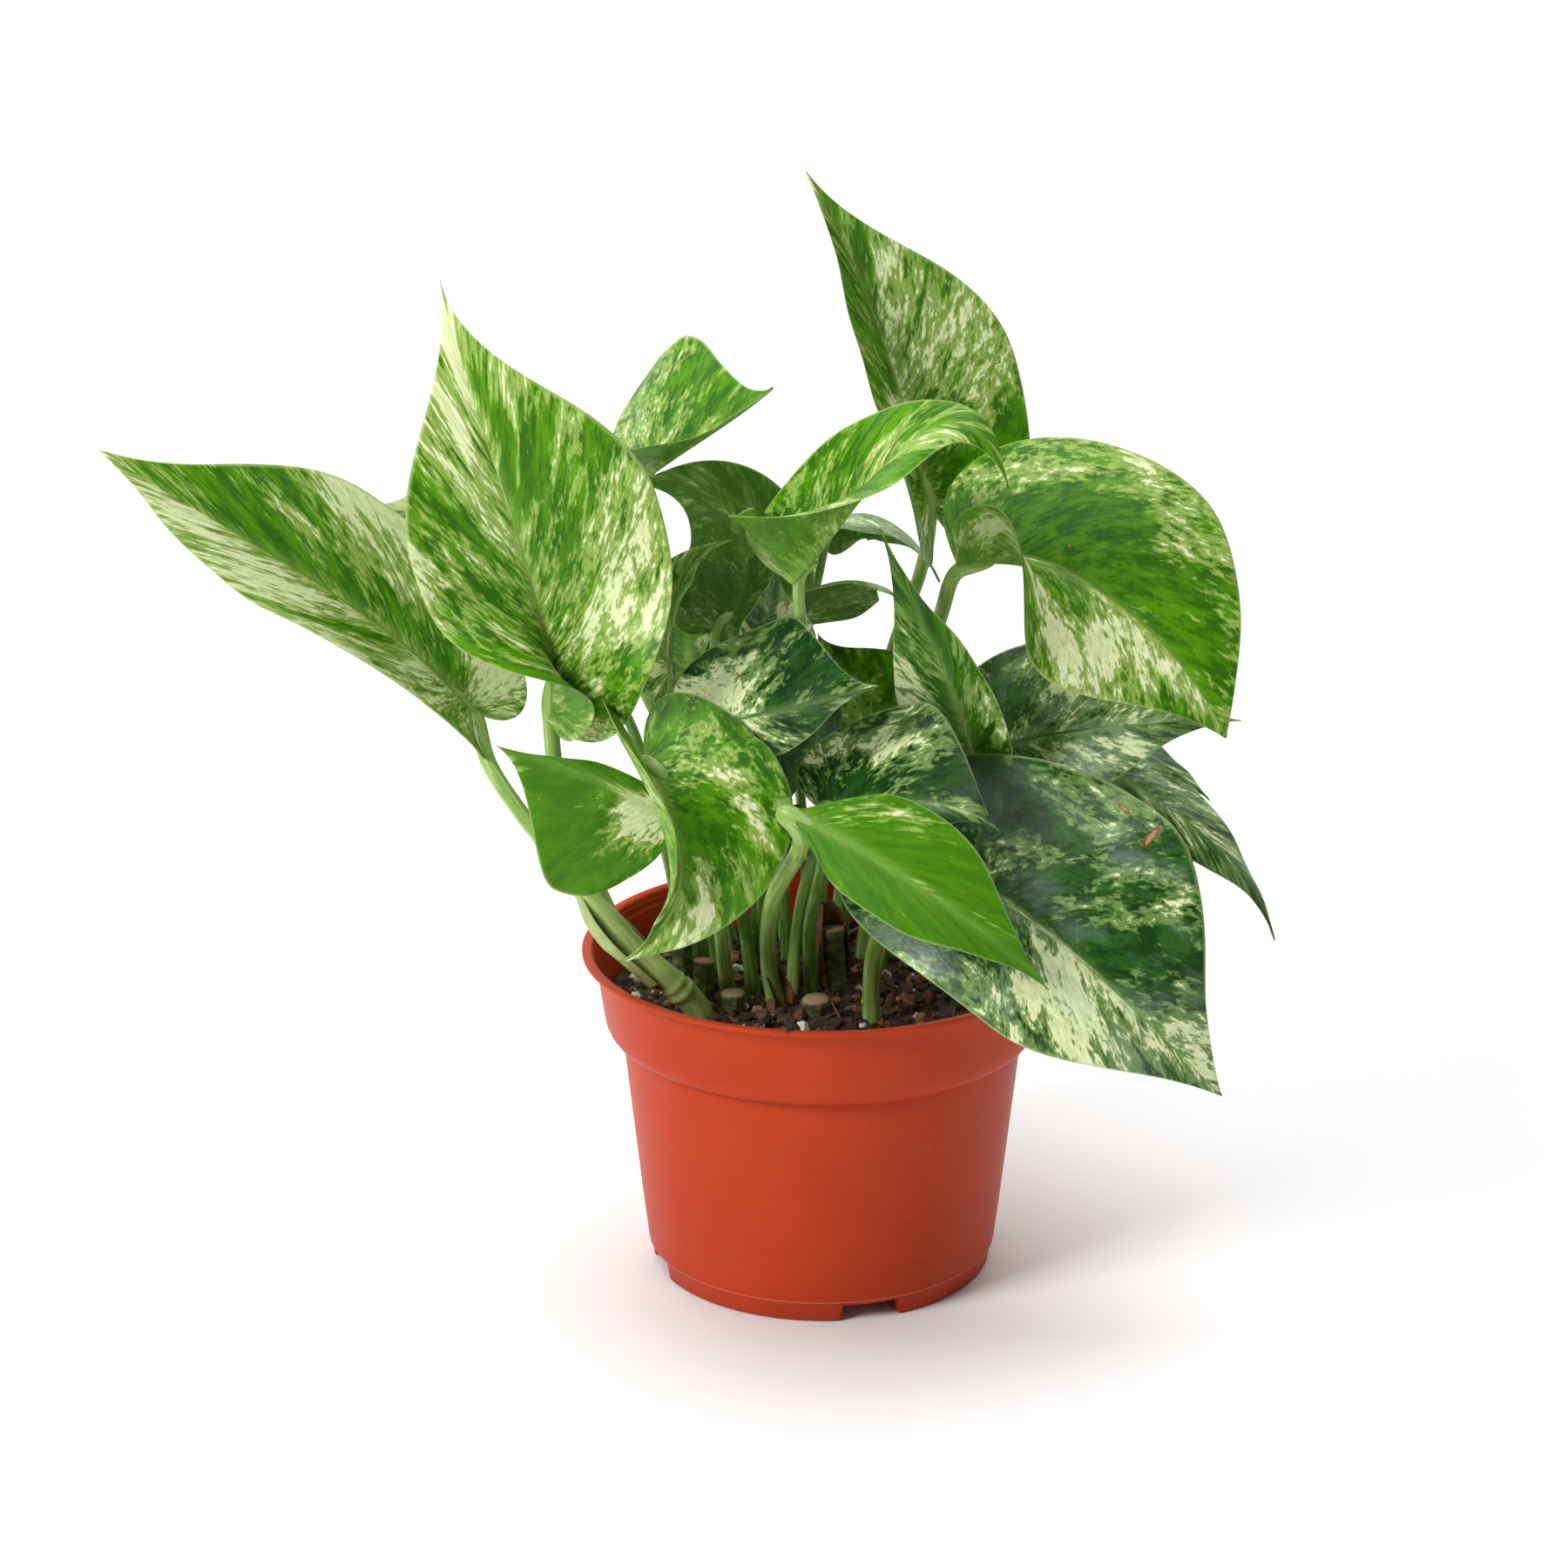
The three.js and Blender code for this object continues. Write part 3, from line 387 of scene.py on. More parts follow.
def midrib(points, count):
    """The cubic curve through four points, a third of its parameter apart."""
    p0, pa, pb, p3 = place(points)
    b1 = (-5 * p0 + 18 * pa - 9 * pb + 2 * p3) / 6
    b2 = (2 * p0 - 9 * pa + 18 * pb - 5 * p3) / 6
    t = np.linspace(0, 1, count)[:, None]
    return (1 - t) ** 3 * p0 + 3 * (1 - t) ** 2 * t * b1 + 3 * (1 - t) * t**2 * b2 + t**3 * p3


def bezier(t, a, b, c, d):
    """The cubic from a to d that b and c pull towards themselves."""
    return (1 - t) ** 3 * a + 3 * (1 - t) ** 2 * t * b + 3 * (1 - t) * t**2 * c + t**3 * d


def outline(q, length, width, lobe, belly, fullness):
    """Half of the heart: two cubic arcs, first round the lobe to the widest point, then to the
    tip. Gives the place along the rib and the distance from it."""
    first = np.clip(q / LOBE_SHARE, 0, 1)
    second = np.clip((q - LOBE_SHARE) / (1 - LOBE_SHARE), 0, 1)
    depth, widest = lobe * length, belly * length
    rest = length - widest
    along = np.where(
        q < LOBE_SHARE, bezier(first, 0, -1.9 * depth, -1.1 * depth, widest),
        bezier(second, widest, widest + 0.38 * rest, length - 0.42 * rest, length))
    across = np.where(
        q < LOBE_SHARE, bezier(first, 0, width / 4, width, width),
        bezier(second, width, width, fullness * width, 0))
    return along, across


def rib_frame(leaf):
    """Stations along the midrib with their frame, and the length run at each."""
    path = midrib(leaf["rib"], 161)
    tangents, normals, across = carried_frame(path, leaf["face"])
    run = np.concatenate([[0], np.cumsum(np.linalg.norm(np.diff(path, axis=0), axis=1))])
    return path, tangents, normals, across, run


def blade_surface(leaf, q, v):
    """Middle surface of a blade. With e = fold + curl * y / width, the point y across lies
    radius * (sin e - sin fold) to the side and radius * (cos fold - cos e) up from the rib."""
    path, tangents, normals, across, run = rib_frame(leaf)
    length = run[-1]
    right = v >= 0
    side = np.where(right, 1.0, -1.0)
    width = np.where(right, leaf["wide"][1], leaf["wide"][0]) * UNIT
    edge_along, edge_across = outline(q, length, width, *leaf["shape"])
    share = np.abs(v)
    rib_along = q**VEIN_SWEEP * length
    along = rib_along + (edge_along - rib_along) * share**1.1
    y = edge_across * share
    station = np.interp(np.clip(along, 0, length), run, np.arange(len(run)))
    low = np.minimum(station.astype(int), len(run) - 2)
    part = (station - low)[..., None]
    point, tangent, normal, sideways = (
        a[low] * (1 - part) + a[low + 1] * part for a in (path, tangents, normals, across))
    u = np.clip(along / length, 0, 1)
    eased = 1 - (1 - u) ** 2
    fold, curl = (
        np.radians(np.where(right, a[1] + (a[3] - a[1]) * eased, a[0] + (a[2] - a[0]) * eased))
        for a in (leaf["fold"], leaf["curl"]))
    collar = np.where(right, leaf["collar"][1], leaf["collar"][0])
    fold = fold + np.radians(collar) * np.exp(-(u / COLLAR_REACH) ** 4)
    curl = np.where(np.abs(curl) < 0.001, 0.001, curl)
    radius = width / curl
    angle = fold + curl * y / width
    point = (point + np.minimum(along, 0)[..., None] * tangent
             + (side * radius * (np.sin(angle) - np.sin(fold)))[..., None] * sideways
             + (radius * (np.cos(fold) - np.cos(angle)))[..., None] * normal)
    up = unit(np.cos(angle)[..., None] * normal - (side * np.sin(angle))[..., None] * sideways)
    return point, up, along / UNIT, side * y / UNIT, length / UNIT


def blade_mesh(leaf, seed):
    """The blade as a closed body. Its skins stand off the middle surface by half the blade's
    thickness, more along the rib below; side veins press in a little above, and the margin
    ripples."""
    rows = np.linspace(0, 1, BLADE_ROWS + 2)[1:-1]
    half = np.linspace(0, 1, HALF_COLUMNS + 1)
    half = half * (1.35 - 0.35 * half)  # closer columns towards the margin
    columns = np.concatenate([-half[:0:-1], half])
    q, v = (a.ravel() for a in np.meshgrid(rows, columns, indexing="ij"))
    q, v = np.concatenate([q, [0, 1]]), np.concatenate([v, [0, 0]])
    point, up, along, across, length = blade_surface(leaf, q, v)
    phase = np.random.default_rng(seed).uniform(0, 2 * np.pi, 8)
    share = np.abs(v)
    turn = np.where(v < 0, phase[0], phase[1])
    ripple = (0.5 * np.sin(2 * np.pi * 1.4 * q + turn) * share**2
              + 0.28 * np.sin(2 * np.pi * 4.3 * q + 2 * turn) * share**3)
    fade = np.minimum(1, 6 * q) * np.minimum(1, 6 * (1 - q))
    vein = np.cos(2 * np.pi * (11 * q + 0.12 * np.sin(9 * share + phase[2])))
    soft = np.sin(np.pi * np.clip(share * 1.25, 0, 1)) * fade
    groove = 0.07 * np.clip(vein, 0, 1) ** 3 * soft
    distance = np.abs(across)
    taper = np.clip(1.15 - along / length, 0.1, 1)
    trough = 0.42 * np.exp(-(distance / 1.1) ** 2) * taper
    keel = 0.95 * np.exp(-(distance / 1.0) ** 2) * taper
    flesh = 0.20 * (1 - share**8) + 0.06
    middle = point + up * (ripple * fade * UNIT)[:, None]
    upper = middle + up * ((flesh - trough - groove) * UNIT)[:, None]
    lower = middle - up * ((flesh + keel - 0.6 * groove) * UNIT)[:, None]
    points = np.vstack([upper, lower])
    width_count = len(columns)
    count = len(q)
    foot, tip = count - 2, count - 1
    grid = quads(BLADE_ROWS, width_count)
    ring = np.arange(width_count - 1)
    last = (BLADE_ROWS - 1) * width_count
    fan_foot = np.stack([np.full_like(ring, foot), ring + 1, ring], -1)
    fan_tip = np.stack([np.full_like(ring, tip), last + ring, last + ring + 1], -1)
    left = np.arange(BLADE_ROWS) * width_count
    right = left + width_count - 1
    margin = np.concatenate([[foot], left, [tip], right[::-1], [foot]])
    a, b = margin[:-1], margin[1:]
    strip = np.stack([a, b, b + count, a + count], -1)
    faces = [grid, fan_foot, fan_tip, strip, grid[:, ::-1] + count, fan_foot[:, ::-1] + count,
             fan_tip[:, ::-1] + count]
    veined = np.stack([q * length + 1000, distance * 1.15 + 40 * (v < 0)], -1)
    values = {
        "under": np.repeat([0.0, 1.0], count),
        "margin": np.tile(share, 2),
        "rib": np.tile(np.exp(-(distance / 1.3) ** 2) * taper, 2),
        "along": np.tile(along / length, 2),
        "across": np.tile(v, 2),
    }
    return points, faces, np.tile(veined, (2, 1)), values


# %% [markdown]
# ## Marbled leaf skin
# Marble-queen leaves are green with cream cells, and the cream runs in streaks and flecks along
# the side veins. The material therefore works in the leaf's own coordinates: one direction along
# the rib and one along the side veins. Noise that is stretched along the veins gives the streaks,
# a low-frequency noise decides where cream wins, and a ramp turns the sum into dark green, leaf
# green, pale green and cream with fairly crisp borders. A painted image could do this too, but a
# procedural skin stays sharp at any distance and differs on every leaf.

# %% Node helpers
def new_material(name):
    """A material with its node tree and its Principled shader."""
    material = bpy.data.materials.new(name)
    material.use_nodes = True
    tree = material.node_tree
    return material, tree, tree.nodes["Principled BSDF"]


def add_node(tree, kind, **settings):
    """A shader node; settings are its properties, or its inputs where the name is an input's."""
    node = tree.nodes.new(kind)
    for key, value in settings.items():
        if key in node.bl_rna.properties:
            setattr(node, key, value)
        else:
            node.inputs[key.replace("_", " ")].default_value = value
    return node


def attribute(tree, name):
    """The value that a mesh carries at each point under this name."""
    return add_node(tree, "ShaderNodeAttribute", attribute_name=name).outputs["Fac"]


def combine(tree, operation, a, b, clamp=False):
    """One Math node on two sockets or numbers."""
    node = add_node(tree, "ShaderNodeMath", operation=operation, use_clamp=clamp)
    for socket, value in zip(node.inputs, (a, b)):
        if isinstance(value, (int, float)):
            socket.default_value = value
        else:
            tree.links.new(value, socket)
    return node.outputs[0]


def noise(tree, coordinates, scale, detail=3.0, roughness=0.55, distortion=0.0, stretch=None,
          shift=(0, 0, 0)):
    """Noise on the coordinates, which a Mapping node first stretches and shifts."""
    if stretch is not None:
        mapping = add_node(tree, "ShaderNodeMapping")
        mapping.inputs["Scale"].default_value = stretch
        mapping.inputs["Location"].default_value = shift
        tree.links.new(coordinates, mapping.inputs["Vector"])
        coordinates = mapping.outputs[0]
    node = add_node(tree, "ShaderNodeTexNoise", Scale=scale, Detail=detail, Roughness=roughness,
                    Distortion=distortion)
    tree.links.new(coordinates, node.inputs["Vector"])
    return node.outputs["Fac"]


def ramp(tree, value, stops):
    """The value turned into a colour, straight from stop to stop."""
    node = add_node(tree, "ShaderNodeValToRGB")
    elements = node.color_ramp.elements
    while len(elements) < len(stops):
        elements.new(0.5)
    for element, (position, colour) in zip(elements, stops):
        element.position = position
        element.color = (*colour, 1) if len(colour) == 3 else colour
    tree.links.new(value, node.inputs[0])
    return node.outputs[0]


def mix(tree, factor, a, b):
    """Colour a where the factor is 0 and b where it is 1."""
    node = add_node(tree, "ShaderNodeMix", data_type="RGBA")
    for socket, value in ((node.inputs[0], factor), (node.inputs[6], a), (node.inputs[7], b)):
        if isinstance(value, (int, float)):
            socket.default_value = value
        elif isinstance(value, tuple):
            socket.default_value = (*value, 1)
        else:
            tree.links.new(value, socket)
    return node.outputs[2]


def map_range(tree, value, from_low, from_high, to_low=0.0, to_high=1.0):
    """The value moved in a straight line from one range to the other, and held at its ends."""
    node = add_node(tree, "ShaderNodeMapRange")
    for i, setting in enumerate((from_low, from_high, to_low, to_high)):
        node.inputs[i + 1].default_value = setting
    tree.links.new(value, node.inputs[0])
    return node.outputs[0]


def bump(tree, shader, height, distance, strength=0.5):
    """Fine relief that only turns the light: distance is its depth in metres."""
    node = add_node(tree, "ShaderNodeBump", Strength=strength, Distance=distance)
    tree.links.new(height, node.inputs["Height"])
    tree.links.new(node.outputs[0], shader.inputs["Normal"])


# %% Leaf materials
CREAM = (0.66, 0.75, 0.35)
# The last number of each age sets the grey-white on its leaves: partly a waxy bloom, partly a
# painted sheen.
YOUNG = dict(dark=(0.032, 0.130, 0.002), leaf=(0.090, 0.275, 0.003), pale=(0.34, 0.51, 0.10),
             gloss=0.34, shine=0.13, bloom_and_sheen=0.0)
PLAIN = dict(YOUNG, dark=(0.050, 0.185, 0.004), leaf=(0.080, 0.250, 0.006))
MIDDLE = dict(dark=(0.016, 0.080, 0.004), leaf=(0.054, 0.185, 0.006), pale=(0.26, 0.43, 0.09),
              gloss=0.34, shine=0.16, bloom_and_sheen=0.12)
OLD = dict(dark=(0.008, 0.044, 0.005), leaf=(0.028, 0.108, 0.012), pale=(0.20, 0.34, 0.09),
           gloss=0.28, shine=0.28, bloom_and_sheen=0.38)
CLEAN = dict(OLD, dark=(0.004, 0.030, 0.004), leaf=(0.018, 0.080, 0.006), shine=0.20,
             bloom_and_sheen=0.10)


def leaf_material(name, age, cream, seed):
    """A leaf skin in layers: two greens, then pale green, then cream, each with crisp borders.
    cream is how much of the blade is cream, 0 to 1."""
    material, tree, shader = new_material(name)
    skin = add_node(tree, "ShaderNodeUVMap", uv_map="skin").outputs[0]
    shift = (31.7 * seed, 17.3 * seed, 0)
    other = (31.7 * seed + 500, 17.3 * seed, 0)

    def weighted(*parts):
        """The sum of weight times part."""
        total = combine(tree, "MULTIPLY", parts[0][1], parts[0][0])
        for weight, part in parts[1:]:
            total = combine(tree, "ADD", total, combine(tree, "MULTIPLY", part, weight))
        return total

    streaks = noise(tree, skin, 1.0, 6.0, 0.68, 0.5, stretch=(0.30, 0.140, 1), shift=shift)
    flecks = noise(tree, skin, 1.0, 5.0, 0.66, 0.3, stretch=(1.0, 0.50, 1), shift=shift)
    patches = noise(tree, skin, 1.0, 2.0, 0.50, 0.2, stretch=(0.060, 0.040, 1), shift=shift)
    greens = noise(tree, skin, 1.0, 6.0, 0.66, 0.4, stretch=(0.34, 0.14, 1), shift=other)
    mottle = weighted((0.55, streaks), (0.35, flecks), (0.55, patches))
    mottle = combine(tree, "ADD", mottle, attribute(tree, "patch"))
    mottle = combine(tree, "ADD", mottle, (cream - 0.5) * 0.24 - 0.225)
    tone = weighted((0.7, greens), (0.3, flecks))
    colour = mix(tree, map_range(tree, tone, 0.44, 0.56), age["dark"], age["leaf"])
    pale_share = map_range(tree, mottle, 0.458, 0.502, 0.0, 0.9)
    fine = map_range(tree, flecks, 0.35, 0.65)
    pale = mix(tree, fine, tuple(0.62 * value for value in age["pale"]), age["pale"])
    colour = mix(tree, pale_share, colour, pale)
    white = mix(tree, fine, tuple(0.86 * value for value in CREAM), (0.84, 0.88, 0.54))
    colour = mix(tree, map_range(tree, mottle, 0.542, 0.576, 0.0, 0.95), colour, white)
    rib = combine(tree, "MULTIPLY", attribute(tree, "rib"), 0.40)
    colour = mix(tree, rib, colour, tuple(1.1 * value for value in age["pale"]))
    rim = map_range(tree, attribute(tree, "margin"), 0.975, 0.995, 0.0, 0.55)
    colour = mix(tree, rim, colour, (0.42, 0.52, 0.20))
    # Grey-white clouds and specks: partly a waxy bloom, partly a painted sheen that stands in for
    # reflected light.
    if age["bloom_and_sheen"]:
        cloudy = noise(tree, skin, 1.0, 4.0, 0.6, stretch=(0.13, 0.08, 1), shift=shift)
        bloom_and_sheen_mask = map_range(tree, cloudy, 0.50, 0.78, 0.0, age["bloom_and_sheen"])
        specks = noise(tree, skin, 1.0, 2.0, 0.5, stretch=(2.6, 2.2, 1), shift=shift)
        bloom_and_sheen_mask = combine(tree, "ADD", bloom_and_sheen_mask, map_range(tree, specks, 0.72, 0.78, 0.0, 0.45), True)
        colour = mix(tree, bloom_and_sheen_mask, colour, (0.34, 0.46, 0.38))
    scar = combine(tree, "ADD", attribute(tree, "scar"), combine(tree, "MULTIPLY", flecks, 0.5))
    scarred = map_range(tree, scar, 0.70, 0.80)
    rust = mix(tree, map_range(tree, scar, 0.85, 1.0), (0.20, 0.055, 0.015), (0.42, 0.25, 0.13))
    colour = mix(tree, scarred, colour, rust)
    under = attribute(tree, "under")
    below = mix(tree, 0.4, colour, (0.14, 0.28, 0.045))
    colour = mix(tree, under, colour, below)
    tree.links.new(colour, shader.inputs["Base Color"])
    grain = noise(tree, skin, 1.0, 3.0, stretch=(2.2, 1.2, 1))
    gloss = map_range(tree, grain, 0.3, 0.7, age["gloss"] - 0.05, age["gloss"] + 0.09)
    gloss = combine(tree, "ADD", gloss, combine(tree, "MULTIPLY", under, 0.16))
    tree.links.new(gloss, shader.inputs["Roughness"])
    height = combine(tree, "ADD", combine(tree, "MULTIPLY", grain, 0.6), flecks)
    bump(tree, shader, height, 0.00025, 0.35)
    shader.inputs["Specular IOR Level"].default_value = age["shine"]
    shader.inputs["Subsurface Weight"].default_value = 0.08
    shader.inputs["Subsurface Radius"].default_value = (0.6, 1.0, 0.2)
    shader.inputs["Subsurface Scale"].default_value = 0.0012
    return material


# The look of each leaf: age, cream share, and broad patches of cream (positive) or green
# (negative) as place along the rib, place across, size and amount.
LOOKS = {
    "far_left": (YOUNG, 0.42, [(0.55, 0.3, 0.25, -0.12), (0.32, 0.85, 0.28, 0.20),
                               (0.45, -0.9, 0.32, 0.12), (1.0, 0.0, 0.10, 0.20)]),
    "tall_left": (YOUNG, 0.47, [(0.97, -0.4, 0.24, 0.19), (0.45, 0.9, 0.2, 0.07),
                                (0.70, 0.5, 0.15, -0.10), (0.0, -0.6, 0.15, -0.12)]),
    "peek_left": (MIDDLE, 0.45, []),
    "back_top": (YOUNG, 0.36, []),
    "back_arch": (MIDDLE, 0.40, []),
    "side_bright": (MIDDLE, 0.35, []),
    "back_dark": (OLD, 0.20, []),
    "arch": (YOUNG, 0.22, [(0.2, -0.7, 0.3, 0.05)]),
    "tall_right": (YOUNG, 0.48, [(0.45, 0.1, 0.2, -0.04)]),
    "big_right": (YOUNG, 0.28, [(0.45, -0.30, 0.25, -0.12), (0.65, 0.5, 0.35, 0.11),
                                (0.2, -0.9, 0.25, 0.04), (0.05, 0.5, 0.15, 0.10)]),
    "back_drape": (MIDDLE, 0.25, []),
    "mid_flat": (MIDDLE, 0.42, []),
    "sword": (MIDDLE, 0.26, [(0.4, -0.9, 0.3, 0.14)]),
    "dark_right": (OLD, 0.36, [(0.7, 0.6, 0.3, 0.06)]),
    "sliver_upper": (OLD, 0.38, []),
    "sliver_right": (OLD, 0.25, []),
    "big_low": (OLD, 0.28, [(0.40, 0.35, 0.28, 0.06), (0.75, 0.5, 0.28, 0.12),
                            (0.15, -0.9, 0.15, 0.10)]),
    "spear_low": (PLAIN, 0.0, []),
    "dark_centre": (CLEAN, 0.24, [(0.35, -0.8, 0.3, 0.08), (0.85, 0.0, 0.2, 0.06)]),
    "cream_dark": (CLEAN, 0.25, [(0.10, -0.6, 0.3, 0.16), (0.6, -0.3, 0.3, -0.08)]),
    "behind_mid": (YOUNG, 0.42, []),
    "front_round": (YOUNG, 0.13, [(0.1, -0.5, 0.3, 0.05), (0.8, -0.6, 0.25, 0.10),
                                  (0.3, 1.0, 0.3, 0.14)]),
    "front_bright": (PLAIN, 0.08, [(0.14, 0.0, 0.26, 0.32), (0.85, 0.0, 0.4, -0.2)]),
    "marbled_low": (CLEAN, 0.50, []),
    "narrow_mid": (OLD, 0.26, []),
    "tip_mid": (OLD, 0.50, []),
    "shade_left": (MIDDLE, 0.25, []),
    "back_low": (YOUNG, 0.36, []),
    "back_left": (YOUNG, 0.32, []),
    "back_middle": (OLD, 0.34, []),
}


# Rust-brown scars and dry spots, as place along, place across and reach each way.
SCARS = {
    "big_low": [(0.36, -0.86, 0.012, 0.10), (0.25, -0.90, 0.035, 0.02), (0.80, 0.35, 0.03, 0.02)],
    "far_left": [(0.02, -0.9, 0.03, 0.10), (0.75, 0.45, 0.006, 0.02)],
    "tall_right": [(0.02, 0.55, 0.02, 0.05)],
    "front_bright": [(0.22, 0.3, 0.02, 0.06)],
    "dark_right": [(0.99, 0.0, 0.02, 0.5)],
    "big_right": [(0.30, -0.2, 0.008, 0.02)],
}


def scar_values(values, scars):
    """The largest of exp(-(distance / reach) squared) over the scars."""
    total = np.zeros(len(values["along"]))
    for along, across, reach_along, reach_across in scars:
        apart = (((values["along"] - along) / reach_along) ** 2
                 + ((values["across"] - across) / reach_across) ** 2)
        total = np.maximum(total, np.exp(-apart))
    return total


def patch_values(values, patches):
    """The sum of round patches: amount * exp(-distance squared / size squared)."""
    total = np.zeros(len(values["along"]))
    for along, across, size, amount in patches:
        reach = (values["along"] - along) ** 2 + 0.25 * (values["across"] - across) ** 2
        total += amount * np.exp(-reach / size**2)
    return total


# %% Make the blades
for seed, (name, leaf) in enumerate(LEAVES.items()):
    age, cream, patches = LOOKS[name]
    points, faces, uv, values = blade_mesh(leaf, seed)
    values["patch"] = patch_values(values, patches)
    values["scar"] = scar_values(values, SCARS.get(name, []))
    blade = add_mesh("blade_" + name, points, faces, uv=uv, values=values)
    finish_piece(blade, leaf_material("skin_" + name, age, cream, seed), "leaf", "leaf_" + name)
print("blades of", len(points), "points each")


# %% [markdown]
# ## Stalks
# A pothos stalk is round below, has a shallow channel above, widens where it clasps the stem and
# has a slightly swollen knee just under the blade. Its path is a smooth curve through a few
# points, ending under the start of the midrib. A curve object with a bevel would be quicker to
# make, but it could not carry the channel and the knee.

# %% Make the stalks
def stalk_material(name, colour, shade):
    """Green skin with fine lengthwise lines, soft clouds and a few brown specks."""
    material, tree, shader = new_material(name)
    skin = add_node(tree, "ShaderNodeUVMap", uv_map="skin").outputs[0]
    lines = noise(tree, skin, 1.0, 4.0, 0.6, stretch=(14, 0.05, 1))
    clouds = noise(tree, skin, 1.0, 3.0, 0.6, stretch=(3, 0.12, 1))
    total = combine(tree, "ADD", combine(tree, "MULTIPLY", lines, 0.6),
                    combine(tree, "MULTIPLY", clouds, 0.4))
    base = ramp(tree, total, [(0.36, shade), (0.5, colour), (0.66, (0.52, 0.62, 0.28))])
    specks = noise(tree, skin, 1.0, 2.0, 0.5, stretch=(9, 0.9, 1))
    base = mix(tree, map_range(tree, specks, 0.70, 0.76, 0.0, 0.7), base, (0.10, 0.045, 0.015))
    tree.links.new(base, shader.inputs["Base Color"])
    shader.inputs["Roughness"].default_value = 0.36
    shader.inputs["Subsurface Weight"].default_value = 0.1
    shader.inputs["Subsurface Scale"].default_value = 0.001
    bump(tree, shader, total, 0.0003, 0.5)
    return material


PALE_STALK = stalk_material("pale_stalk", (0.27, 0.44, 0.09), (0.15, 0.30, 0.035))
DARK_STALK = stalk_material("dark_stalk", (0.13, 0.28, 0.035), (0.06, 0.16, 0.015))


def channel(angle, share):
    """The section's share of its radius: a shallow channel on the upper side."""
    return 1 - 0.22 * np.exp(-((angle - np.pi / 2) / 0.42) ** 2) * np.clip(1.1 - share, 0, 1)


PALE_STALKED = ("big_low", "sword", "back_arch")  # dark leaves on pale stalks


def stalk_route(leaf):
    """The way up from the soil or the vine to a tenth of the midrib, just under the blade."""
    path, tangents, normals, _, run = rib_frame(leaf)
    sink = 0.8 * leaf["radius"] * UNIT
    start = path[0] - normals[0] * sink - tangents[0] * 0.5 * UNIT
    end_station = int(np.searchsorted(run, 0.1 * run[-1]))
    end = path[end_station] - normals[end_station] * sink * 0.7
    return smooth_path(np.vstack([place_route(leaf["stalk"]), start, end]), 72)


for name, leaf in LEAVES.items():
    route = stalk_route(leaf)
    share = np.linspace(0, 1, len(route))
    swell = (1 + 0.30 * np.exp(-(share / 0.10) ** 2) + 0.10 * np.exp(-((share - 0.86) / 0.05) ** 2)
             - 0.55 * np.clip((share - 0.9) / 0.1, 0, 1) ** 1.5)
    points, faces, uv = tube(route, leaf["radius"] * UNIT * 0.94 * swell, face=(0, -1, 0.1),
                             shape=channel)
    stalk = add_mesh("stalk_" + name, points, faces, uv=uv)
    dark = LOOKS[name][0] in (MIDDLE, OLD, CLEAN) and name not in PALE_STALKED
    finish_piece(stalk, DARK_STALK if dark else PALE_STALK, "stem")
print("stalks made")


# %% [markdown]
# ## Vine and old stems
# One stem trails from the middle of the pot to the left. It is round with fine ridges, and a ring
# scar marks the node where a leaf once sat. Its end keeps a pale papery sheath. The short stumps
# beside it are what is left of the cuttings the pot was planted with. All of them are swept tubes
# with their own roughness, since a plain cylinder would look turned on a lathe.

# %% The vine
def ridged(count, depth):
    """A section with fine lengthwise ridges."""
    return lambda angle, share: 1 + depth * np.sin(count * angle + 3 * share)


vine_route = smooth_path(place_route(VINE + [(-53, -19, 20), (-58, -18.6, 26)]), 140)
share = np.linspace(0, 1, 140)
ring = np.exp(-((share - 0.27) / 0.015) ** 2) + 0.6 * np.exp(-((share - 0.31) / 0.012) ** 2)
vine_radius = 3.15 * UNIT * (1 + 0.14 * ring - 0.42 * share**1.6)
points, faces, uv = tube(vine_route, vine_radius, face=(0, -1, 0.2), sides=48,
                         shape=ridged(11, 0.012))
vine = add_mesh("vine_stem", points, faces, uv=uv)
finish_piece(vine, stalk_material("vine_skin", (0.38, 0.49, 0.15), (0.22, 0.33, 0.05)), "stem",
             "vine")


# %% [markdown]
# ## Dry, papery parts
# Old leaf bases dry to thin brown skins. Each is a curved strip around a line, wider in the
# middle and open at the side, given a little thickness by a Solidify modifier.

# %% Papery sheaths
def paper_material(name, light, dark):
    """Dry skin: lengthwise fibres with darker spots."""
    material, tree, shader = new_material(name)
    skin = add_node(tree, "ShaderNodeUVMap", uv_map="skin").outputs[0]
    fibres = noise(tree, skin, 1.0, 4.0, 0.6, stretch=(9, 0.15, 1))
    spots = noise(tree, skin, 1.0, 3.0, 0.6, stretch=(1.1, 0.4, 1))
    total = combine(tree, "ADD", combine(tree, "MULTIPLY", fibres, 0.55),
                    combine(tree, "MULTIPLY", spots, 0.45))
    base = ramp(tree, total, [(0.38, dark), (0.52, light), (0.68, light)])
    tree.links.new(base, shader.inputs["Base Color"])
    shader.inputs["Roughness"].default_value = 0.62
    bump(tree, shader, total, 0.0005, 0.6)
    return material


